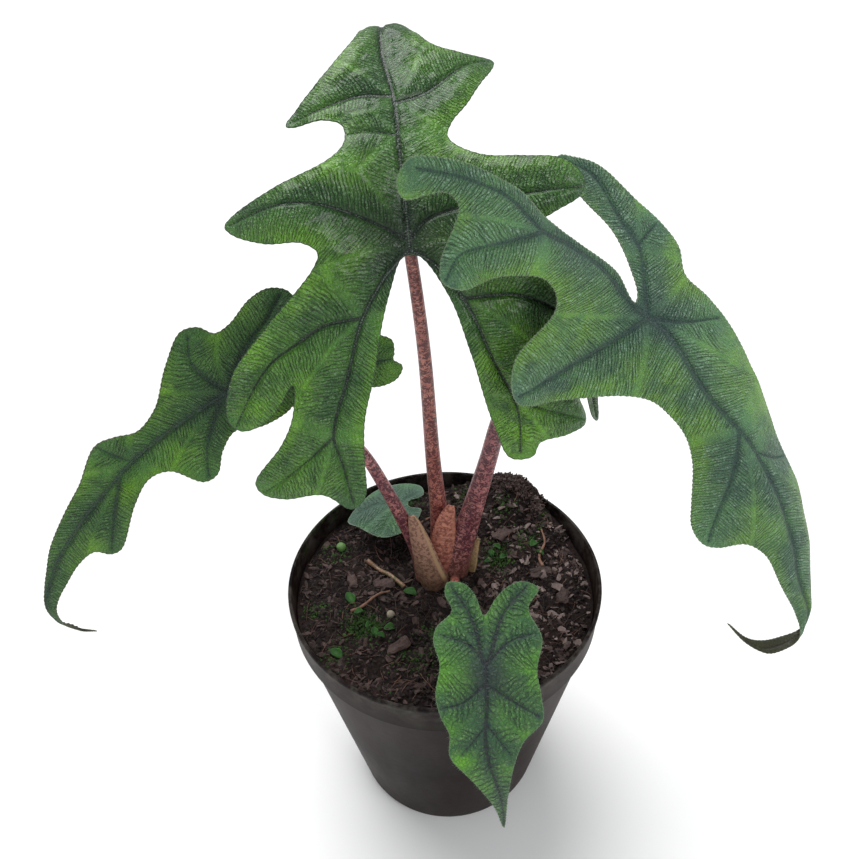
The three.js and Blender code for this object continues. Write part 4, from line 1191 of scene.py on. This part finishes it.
# ---------------------------------------------------------------- stem and sheaths
def build_stem_base(material):
    """The short stem: a turned knob with a few rings and a rough skin."""
    low, high = (np.array(corner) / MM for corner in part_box("stem_base"))
    centre = (low + high) / 2
    radius = (high[0] - low[0]) / 2
    height = high[2] - low[2]

    def place(across, along):
        share = (along + 1) / 2
        turn = across * math.pi
        reach = radius * np.sqrt(1 - 0.75 * share**4) * (1 + 0.04 * np.sin(share * 20))
        x = centre[0] + reach * np.cos(turn)
        y = centre[1] + reach * np.sin(turn)
        knob = np.column_stack([x, y, low[2] + share * height])
        return knob + 0.3 * grain(knob, 3.0)[:, None]

    knob = bent_grid("stem_base", columns=48, rows=14, place=place, tube=True,
                     shade=lambda across, along: 0.5 + across * 0)
    finished(knob, material, "stem_skin", "stem_base")


def sheath(name, route, half_width, hug, thickness, wrinkle, material, slot):
    """A strip that curves across, along a route, and narrows to a rounded tip."""
    path = smooth_run(route, 1.0)
    rows = len(path) - 1
    facing = np.array([0.0, -1.0, 0.25])
    ahead = np.gradient(path, axis=0)
    ahead /= np.linalg.norm(ahead, axis=1)[:, None]
    sideways = np.cross(ahead, facing)
    sideways /= np.linalg.norm(sideways, axis=1)[:, None]
    out = np.cross(sideways, ahead)

    def width_at(share):
        return half_width * (0.8 + 0.2 * np.cos(share * math.pi)) * np.sqrt(1 - share**5 * 0.96)

    def place(across, along):
        row = np.rint((along + 1) / 2 * rows).astype(int)
        share = row / rows
        side = np.sin(across * hug) / math.sin(hug) * width_at(share)
        sink = (1 - np.cos(across * hug)) / math.sin(hug) * width_at(share)
        folds = wrinkle * np.sin(row * 1.9 + 2.0 * np.sin(across * 2.4)) * (1 - across**2)
        roll = 0.5 * np.exp(-((np.abs(across) - 1) / 0.1) ** 2)
        return path[row] + sideways[row] * side[:, None] + out[row] * (folds + roll - sink)[:, None]

    strip = bent_grid(name, columns=28, rows=rows, place=place,
                      side=lambda across, along: across,
                      up=lambda across, along: (along + 1) / 2)
    shell = strip.modifiers.new("thickness", "SOLIDIFY")
    shell.thickness = thickness * MM
    shell.offset = 0
    bpy.ops.object.modifier_apply(modifier=shell.name)
    soften = strip.modifiers.new("rounding", "SUBSURF")
    soften.levels = soften.render_levels = 1
    bpy.ops.object.modifier_apply(modifier=soften.name)
    return finished(strip, material, slot, name)


def sheath_finish(name, foot, top, fleck, ridge, ridge_share, wrinkle):
    """An old sheath: foot colour blending upwards, dark flecks, a pale ridge beside one margin."""
    finish = Finish(name, roughness=0.6)
    up = finish.attribute("up")
    blend = finish.between(finish.maths("ADD", up, finish.times(finish.noise(220, 4), 0.5)), 0.25, 0.95)
    base = finish.mix(blend, foot, top)
    spots = finish.between(finish.noise(640, 4, 0.65), 0.47, 0.57)
    base = finish.mix(finish.times(spots, 0.6), base, fleck)
    lines = finish.noise(700, 4, 0.6, finish.stretched(finish.place, (0.6, 0.6, 2.6)))
    base = finish.mix(finish.times(finish.between(lines, 0.55, 0.65), wrinkle), base, fleck)
    side = finish.attribute("side")
    band = finish.times(finish.between(side, 0.46, 0.58), finish.between(side, 0.84, 0.7))
    finish.colour(finish.mix(finish.times(band, ridge_share), base, ridge))
    finish.bump(lines, 0.4, 0.8)
    return finish.material


def build_sheaths():
    old = sheath_finish("sheath_old_skin", tint(120, 92, 70), tint(174, 132, 110), tint(76, 44, 38),
                        tint(178, 146, 110), 0.95, 0.35)
    red = sheath_finish("sheath_red_skin", tint(150, 84, 72), tint(198, 130, 108), tint(96, 42, 38),
                        tint(196, 136, 112), 0.4, 0.85)
    dry = sheath_finish("sheath_dry_skin", tint(120, 96, 62), tint(176, 146, 104), tint(110, 84, 56),
                        tint(196, 170, 130), 0.5, 0.4)
    sheath("sheath_old", [(-2, -1, 125), (-5, -1, 132), (-8, 1, 141), (-11, 5, 153), (-15, 10, 168)],
           7.0, 1.2, 0.9, 0.12, old, "sheath_brown")
    sheath("sheath_red", [(-1, 4, 126), (-1, 6, 137), (0, 8, 148), (1, 10.5, 160), (4, 13, 171)],
           8.0, 1.15, 0.9, 0.35, red, "sheath_pink")
    sheath("sheath_flap", [(13, 9, 129), (14, 10, 133), (15, 12, 139), (17, 15, 147)],
           2.4, 0.9, 0.5, 0.15, dry, "sheath_dry")


# ---------------------------------------------------------------- small things on the mix
def lying(x, y, lift=0.0):
    """A place on the rough mix."""
    return np.array([x, y, float(rough_soil(np.array([x]), np.array([y]))[0]) + lift])


def unit_ball(divisions):
    """Points and faces of a ball of radius 1, from the primitive."""
    bpy.ops.object.select_all(action="DESELECT")
    bpy.ops.mesh.primitive_ico_sphere_add(subdivisions=divisions, radius=1)
    ball = bpy.context.object
    points = np.array([v.co[:] for v in ball.data.vertices])
    faces = np.array([f.vertices[:] for f in ball.data.polygons])
    bpy.data.objects.remove(ball)
    return points, faces


def turns(yaw, tilt, roll):
    """Rotation matrices for arrays of angles: roll about X, tilt about Y, then yaw about Z."""
    cy, sy, ct, st, cr, sr = (f(a) for a in (yaw, tilt, roll) for f in (np.cos, np.sin))
    rows = [[cy * ct, cy * st * sr - sy * cr, cy * st * cr + sy * sr],
            [sy * ct, sy * st * sr + cy * cr, sy * st * cr - cy * sr],
            [-st, ct * sr, ct * cr]]
    return np.array(rows).transpose(2, 0, 1)


def heap_of(name, seed, places, sizes, slant, material, slot, *nodes):
    """Many small lumps in one mesh, each a ball of its own size, dented and turned at random."""
    random = np.random.default_rng(seed)
    ball, faces = unit_ball(1)
    count = len(places)
    dents = random.uniform(0.62, 1.25, (count, len(ball), 1))
    lumps = ball[None] * dents * sizes[:, None]
    spin = turns(random.uniform(-math.pi, math.pi, count), random.normal(0, slant, count),
                 random.normal(0, slant, count))
    lumps = np.einsum("nij,nkj->nki", spin, lumps) + places[:, None]
    offsets = (np.arange(count) * len(ball))[:, None, None]
    shade = np.repeat(random.uniform(0, 1, count), len(ball))
    piece = write_mesh(name, lumps.reshape(-1, 3), (faces[None] + offsets).reshape(-1, 3), shade=shade)
    piece.data.shade_flat()
    return finished(piece, material, slot, *nodes)


STEM_PLACE = (-3, 13)
STEM_CLEARANCE = 12


def spread(random, count):
    """Random places on the mix, clear of the stem."""
    x, y = [], []
    while len(x) < count:
        radius = (SOIL_EDGE - 2) * math.sqrt(random.uniform(0, 1))
        turn = random.uniform(0, 2 * math.pi)
        px, py = radius * math.cos(turn), radius * math.sin(turn)
        if math.hypot(px - STEM_PLACE[0], py - STEM_PLACE[1]) > STEM_CLEARANCE:
            x.append(px)
            y.append(py)
    x, y = np.array(x), np.array(y)
    return np.column_stack([x, y, rough_soil(x, y)])


FIBRE_BEND = 0.9


def threads(name, seed, starts, lengths, widths, material, slot, lift=0.5, hump=0.6):
    """Fine curved fibres that lie on the mix, all in one mesh, each a tube of a few quads."""
    random = np.random.default_rng(seed)
    knots, sides = 8, 4
    along = np.linspace(0, 1, knots)
    ring = np.linspace(0, 2 * math.pi, sides, endpoint=False)
    points, faces, shades = [], [], []
    for start, length, width in zip(starts, lengths, widths):
        turn = random.uniform(0, 2 * math.pi)
        curve = random.uniform(-FIBRE_BEND, FIBRE_BEND)
        heading = turn + curve * along
        step = length / knots
        x = start[0] + np.cumsum(np.cos(heading)) * step
        y = start[1] + np.cumsum(np.sin(heading)) * step
        reach = np.hypot(x, y)
        squeeze = np.minimum(1, (SOIL_EDGE - 1.5) / reach)
        x, y = x * squeeze, y * squeeze
        z = rough_soil(x, y) + lift + hump * np.sin(along * math.pi) * random.uniform(0, 1)
        z = np.maximum(z, z.mean() - 1.0)
        taper = width * (1 - 0.6 * along)
        first = sum(len(p) for p in points)
        tube = np.stack([
            x[:, None] - np.sin(heading)[:, None] * np.cos(ring) * taper[:, None],
            y[:, None] + np.cos(heading)[:, None] * np.cos(ring) * taper[:, None],
            z[:, None] + np.sin(ring) * taper[:, None]], axis=2).reshape(-1, 3)
        points.append(tube)
        for k in range(knots - 1):
            for i in range(sides):
                j = (i + 1) % sides
                base = first + k * sides
                faces.append((base + i, base + i + sides, base + j + sides, base + j))
        faces.append(tuple(first + i for i in range(sides)))
        faces.append(tuple(first + (knots - 1) * sides + i for i in reversed(range(sides))))
        shades.append(np.full(len(tube), random.uniform(0, 1)))
    piece = write_mesh(name, np.vstack(points), faces, shade=np.concatenate(shades))
    return finished(piece, material, slot)


CHIPS = [
    # x, y, yaw, length, width, thickness
    (48, 8, 20, 13, 7, 3), (57, -8, 70, 10, 6, 3), (38, -6, 140, 12, 6, 3), (30, 30, 50, 11, 7, 3),
    (-30, 2, 10, 11, 6, 3), (-46, 6, 100, 9, 5, 2.5), (-22, -34, 30, 12, 6, 3),
    (40, -32, 120, 11, 7, 3),
]
TWIGS = [
    # x, y, yaw, length, radius
    (-36, -8, 35, 24, 0.7), (20, -20, 160, 20, 0.6), (50, 22, 80, 22, 0.7), (-10, 46, 20, 18, 0.6),
]
SPROUTS = [
    # x, y, yaw, length
    (-46, -6, 30, 9), (-26, -24, 110, 8), (-50, -38, 60, 9), (46, 24, 140, 8), (-17, -2, 80, 9),
]
SEEDLINGS = [
    # x, y, yaw, length
    (-41, -15, 120, 6), (-33, -27, 20, 6), (-30, -30, 75, 5), (-16, 66, 80, 9), (24, 20, 10, 5),
    (30, 17, 130, 5), (27, 23, 60, 5), (22, 15, 100, 4), (49, 20, 60, 5), (-36, -22, 140, 5),
]
TUFTS = [
    # name, x, y, radius, blades
    ("moss_left", -38, -22, 9, 340), ("moss_back", -22, 58, 8, 280), ("moss_right", 27, 18, 7, 240),
]
ALGAE = [
    # x, y, reach
    (-38, -22, 13), (-14, -40, 12), (-5, -28, 8), (-50, -38, 7), (28, 20, 11), (44, 28, 7),
    (-55, 25, 9), (-20, 57, 11), (52, 42, 6), (12, 58, 8), (-62, -12, 6), (33, 44, 7),
]
ALGAE_DENSITY = 16
FLAKES = 1600
PLATES = 900
CRUMBS = 3200
PEAT_FIBRES = 520
PALE_FIBRES = 150
SPILLED = 520
SPILL_BEARING = 56
SPILL_SPREAD = 12


def build_chips(bark):
    """Bark chips: a bevelled slab each, split into plates and dented."""
    for i, (x, y, yaw, length, width, thick) in enumerate(CHIPS):
        bpy.ops.object.select_all(action="DESELECT")
        bpy.ops.mesh.primitive_cube_add(size=1)
        chip = bpy.context.object
        chip.scale = (length * 0.92 * MM, width * 0.85 * MM, thick * 0.7 * MM)
        chip.rotation_euler = (0.12 * math.sin(i * 2.1), 0.12 * math.cos(i * 1.7), math.radians(yaw))
        chip.location = Vector(lying(x, y, thick * 0.3)) * MM
        bpy.ops.object.transform_apply(location=True, rotation=True, scale=True)
        bpy.ops.object.mode_set(mode="EDIT")
        bpy.ops.mesh.select_all(action="SELECT")
        bpy.ops.mesh.bevel(offset=0.7 * MM, segments=1)
        bpy.ops.mesh.subdivide(number_cuts=4)
        bpy.ops.object.mode_set(mode="OBJECT")
        for vertex in chip.data.vertices:
            spot = vertex.co / MM
            vertex.co += noise.noise_vector(spot / 2.6 + Vector((i * 7, 0, 0))) * 1.1 * MM
            vertex.co += noise.noise_vector(spot / 0.9) * 0.3 * MM
        add_mark(chip.data, "shade", np.full(len(chip.data.vertices), 0.3 + 0.09 * i))
        finished(chip, bark, "bark_brown", f"bark_chip_{i + 1}")


def build_twigs(twig):
    for i, (x, y, yaw, length, radius) in enumerate(TWIGS):
        turn = math.radians(yaw)
        route = []
        for share in (-0.5, -0.2, 0.15, 0.5):
            px = x + length * share * math.cos(turn) + 1.2 * math.sin(share * 9) * math.sin(turn)
            py = y + length * share * math.sin(turn) + 1.2 * math.sin(share * 9) * math.cos(turn)
            route.append(lying(px, py, radius + 0.6))

        def width_at(share, radius=radius):
            return radius * (1.1 - 0.45 * share + 0.12 * np.sin(share * 26))

        piece = stalk(f"twig_{i + 1}", route, width_at, sides=10, step=0.8)
        add_mark(piece.data, "shade", np.full(len(piece.data.vertices), 0.4 + 0.15 * i))
        finished(piece, twig, "twig_tan", f"twig_{i + 1}")


def leaflet(name, x, y, yaw, length, width, lift, cup, material, *nodes):
    """A small cupped oval leaf that lies on the mix."""
    centre = lying(x, y, lift)
    turn = math.radians(yaw)

    def place(across, along):
        half = np.sqrt(np.maximum(1 - along**2, 0)) * (1 - 0.25 * along)
        u, v = across * half * width / 2, along * length / 2
        rise = cup * (across * half) ** 2 + 0.7 * cup * along * np.abs(along)
        dents = -0.25 * np.exp(-(across / 0.12) ** 2)
        return centre + np.column_stack([u * math.cos(turn) - v * math.sin(turn),
                                         u * math.sin(turn) + v * math.cos(turn), rise + dents])

    # The shade mark runs across the leaflet: one half is painted lighter and the other darker, as
    # painted shade.
    piece = bent_grid(name, columns=14, rows=16, place=place,
                      shade=lambda across, along: 0.5 + 0.4 * across)
    bpy.ops.object.mode_set(mode="EDIT")
    bpy.ops.mesh.select_all(action="SELECT")
    bpy.ops.mesh.remove_doubles(threshold=1e-5)
    bpy.ops.object.mode_set(mode="OBJECT")
    shell = piece.modifiers.new("thickness", "SOLIDIFY")
    shell.thickness = 0.4 * MM
    bpy.ops.object.modifier_apply(modifier=shell.name)
    return finished(piece, material, "sprout_green", *nodes)


def build_sprouts(green):
    for i, (x, y, yaw, length) in enumerate(SPROUTS):
        name = f"sprout_{i + 1}"
        leaflet(name, x, y, yaw, length * 0.7, length / 2.3, 1.2, 1.5, green, name)
    for i, (x, y, yaw, length) in enumerate(SEEDLINGS):
        leaflet(f"seedling_{i + 1}", x, y, yaw, length * 0.75, length / 2.2, 1.8, 1.2, green)


def build_moss(material):
    """Low tufts, each a dome of small upright blades."""
    for i, (name, x, y, radius, count) in enumerate(TUFTS):
        random = np.random.default_rng(40 + i)
        reach = radius * np.sqrt(random.uniform(0, 1, count)) * random.uniform(0.7, 1.15, count)
        turn = random.uniform(0, 2 * math.pi, count)
        px, py = x + reach * np.cos(turn), y + reach * np.sin(turn)
        dome = 1.4 * np.maximum(0, 1 - (reach / radius) ** 2)
        places = np.column_stack([px, py, rough_soil(px, py) + dome])
        sizes = np.column_stack([random.uniform(0.25, 0.6, count), random.uniform(0.25, 0.6, count),
                                 random.uniform(0.7, 1.7, count)])
        heap_of(name, 50 + i, places, sizes, 0.5, material, "moss_green", name)


def build_litter(bark, plate, twig, peat, moss):
    """Flakes, crumbs and fibres by the hundred, with paler bark towards the right."""
    random = np.random.default_rng(7)
    flakes = spread(random, FLAKES)
    heap_of("bark_flakes", 8, flakes, flat_sizes(random, FLAKES, 4.0), 0.6, bark, "bark_brown")
    plates = spread(random, PLATES)
    plates = plates[plates[:, 0] + random.normal(0, 12, PLATES) > 22]
    heap_of("bark_plates", 13, plates, flat_sizes(random, len(plates), 4.6), 0.4, plate, "bark_brown")
    crumbs = spread(random, CRUMBS)
    heap_of("peat_crumbs", 9, crumbs, random.uniform(0.35, 1.4, (CRUMBS, 3)), 1.0, peat, "potting_mix")
    threads("peat_fibres", 10, spread(random, PEAT_FIBRES), random.uniform(3, 12, PEAT_FIBRES),
            random.uniform(0.08, 0.2, PEAT_FIBRES), bark, "bark_brown")
    threads("pale_fibres", 11, spread(random, PALE_FIBRES), random.uniform(4, 15, PALE_FIBRES),
            random.uniform(0.07, 0.2, PALE_FIBRES), twig, "twig_tan", hump=1.6)
    build_spill(random, bark)
    film = np.vstack([random.normal((x, y), 0.5 * reach, (ALGAE_DENSITY * reach, 2))
                      for x, y, reach in ALGAE])
    film = film[np.hypot(film[:, 0], film[:, 1]) < SOIL_EDGE - 2]
    film = np.column_stack([film, rough_soil(film[:, 0], film[:, 1])])
    heap_of("algae_crumbs", 12, film, random.uniform(0.3, 0.9, (len(film), 3)), 1.0, moss, "moss_green")


def build_spill(random, bark):
    """Crumbs, flakes and fibres that lie over the rim where the mix is heaped."""
    turn = np.radians(random.normal(SPILL_BEARING, SPILL_SPREAD, SPILLED))
    radius = random.uniform(62, RIM_RADIUS - 0.5, SPILLED)
    x, y = radius * np.cos(turn), radius * np.sin(turn)
    top = soil_height(x, y) + random.uniform(0, 2.2, SPILLED)
    heaped = top > POT_HEIGHT - 1.5
    places = np.column_stack([x, y, np.maximum(top, POT_HEIGHT)])[heaped]
    sizes = random.uniform(0.35, 1.4, (SPILLED, 3))[heaped]
    heap_of("spilled_crumbs", 14, places[::2], sizes[::2], 1.0, bark, "bark_brown")
    heap_of("spilled_flakes", 15, places[1::2], sizes[1::2] * (1.5, 0.7, 0.3), 0.9, bark, "bark_brown")
    threads("spilled_fibres", 16, places[::5], random.uniform(4, 11, len(places[::5])),
            random.uniform(0.1, 0.22, len(places[::5])), bark, "bark_brown", lift=1.2, hump=2.4)


def flat_sizes(random, count, longest):
    """Half sizes of flat flakes."""
    length = random.uniform(0.25, 1.0, count) ** 1.5 * longest
    return np.column_stack([length, length * random.uniform(0.3, 0.6, count),
                            random.uniform(0.2, 0.6, count)])


def build_grains(pellet, granule):
    """The two single grains that lie on the mix, each a dented ball."""
    for name, (x, y, radius), material, slot in (
            ("pellet_green", (-53, 27, 2.4), pellet, "pellet_green"),
            ("granule_beige", (-26, -16, 1.9), granule, "granule_beige")):
        bpy.ops.object.select_all(action="DESELECT")
        place = Vector(lying(x, y, radius * 0.8)) * MM
        bpy.ops.mesh.primitive_ico_sphere_add(subdivisions=4, radius=radius * MM, location=place)
        ball = bpy.context.object
        ball.name = name
        bpy.ops.object.transform_apply(location=True)
        for vertex in ball.data.vertices:
            vertex.co += noise.noise_vector(vertex.co / (2.2 * MM)) * 0.22 * MM
        add_mark(ball.data, "shade", np.full(len(ball.data.vertices), 0.6))
        ball.data.shade_smooth()
        finished(ball, material, slot, name)


def build_fallen_stem(skin):
    route = [lying(-39, 18, 1.6), lying(-33, 13, 2.0), lying(-27, 7, 2.2), lying(-20, 1, 1.6)]

    def width_at(share):
        return 0.9 + 0.35 * np.exp(-((share - 0.05) / 0.12) ** 2) + 0.2 * share

    piece = stalk("fallen_stem", route, width_at, sides=16, step=0.8)
    finished(piece, skin, "sheath_pink", "fallen_stem")


def build_small_things():
    bark = plain_finish("bark", tint(92, 72, 66), tint(22, 15, 14), 500, 0.8, 0.5)
    plate = plain_finish("bark_plate", tint(150, 132, 126), tint(60, 46, 43), 420, 0.85, 0.5)
    twig = plain_finish("twig", tint(150, 112, 92), tint(84, 54, 44), 600, 0.8, 0.3)
    peat = plain_finish("peat", tint(44, 33, 29), tint(16, 11, 10), 700, 0.95, 0.5)
    moss = plain_finish("moss", tint(58, 92, 28), tint(18, 34, 10), 400, 0.95, 0.2)
    green = plain_finish("sprout", tint(50, 104, 28), tint(16, 48, 12), 500, 0.65, 0.3)
    pellet = plain_finish("pellet", tint(112, 152, 84), tint(54, 92, 40), 500, 0.6, 0.3)
    granule = plain_finish("granule", tint(172, 164, 146), tint(112, 102, 84), 600, 0.8, 0.5)
    skin = petiole_finish("fallen_skin", tint(176, 134, 116), tint(142, 104, 86), tint(66, 84, 42), 0.8)
    build_chips(bark)
    build_twigs(twig)
    build_sprouts(green)
    build_moss(moss)
    build_litter(bark, plate, twig, peat, moss)
    build_grains(pellet, granule)
    build_fallen_stem(skin)


# ---------------------------------------------------------------- make everything
set_camera()
set_light()
set_floor()
build_pot()
build_soil(mix_finish())
build_stem_base(plain_finish("stem_skin", tint(128, 92, 72), tint(70, 48, 36), 300, 0.7, 0.6))
build_blades()
build_petioles()
build_sheaths()
build_small_things()
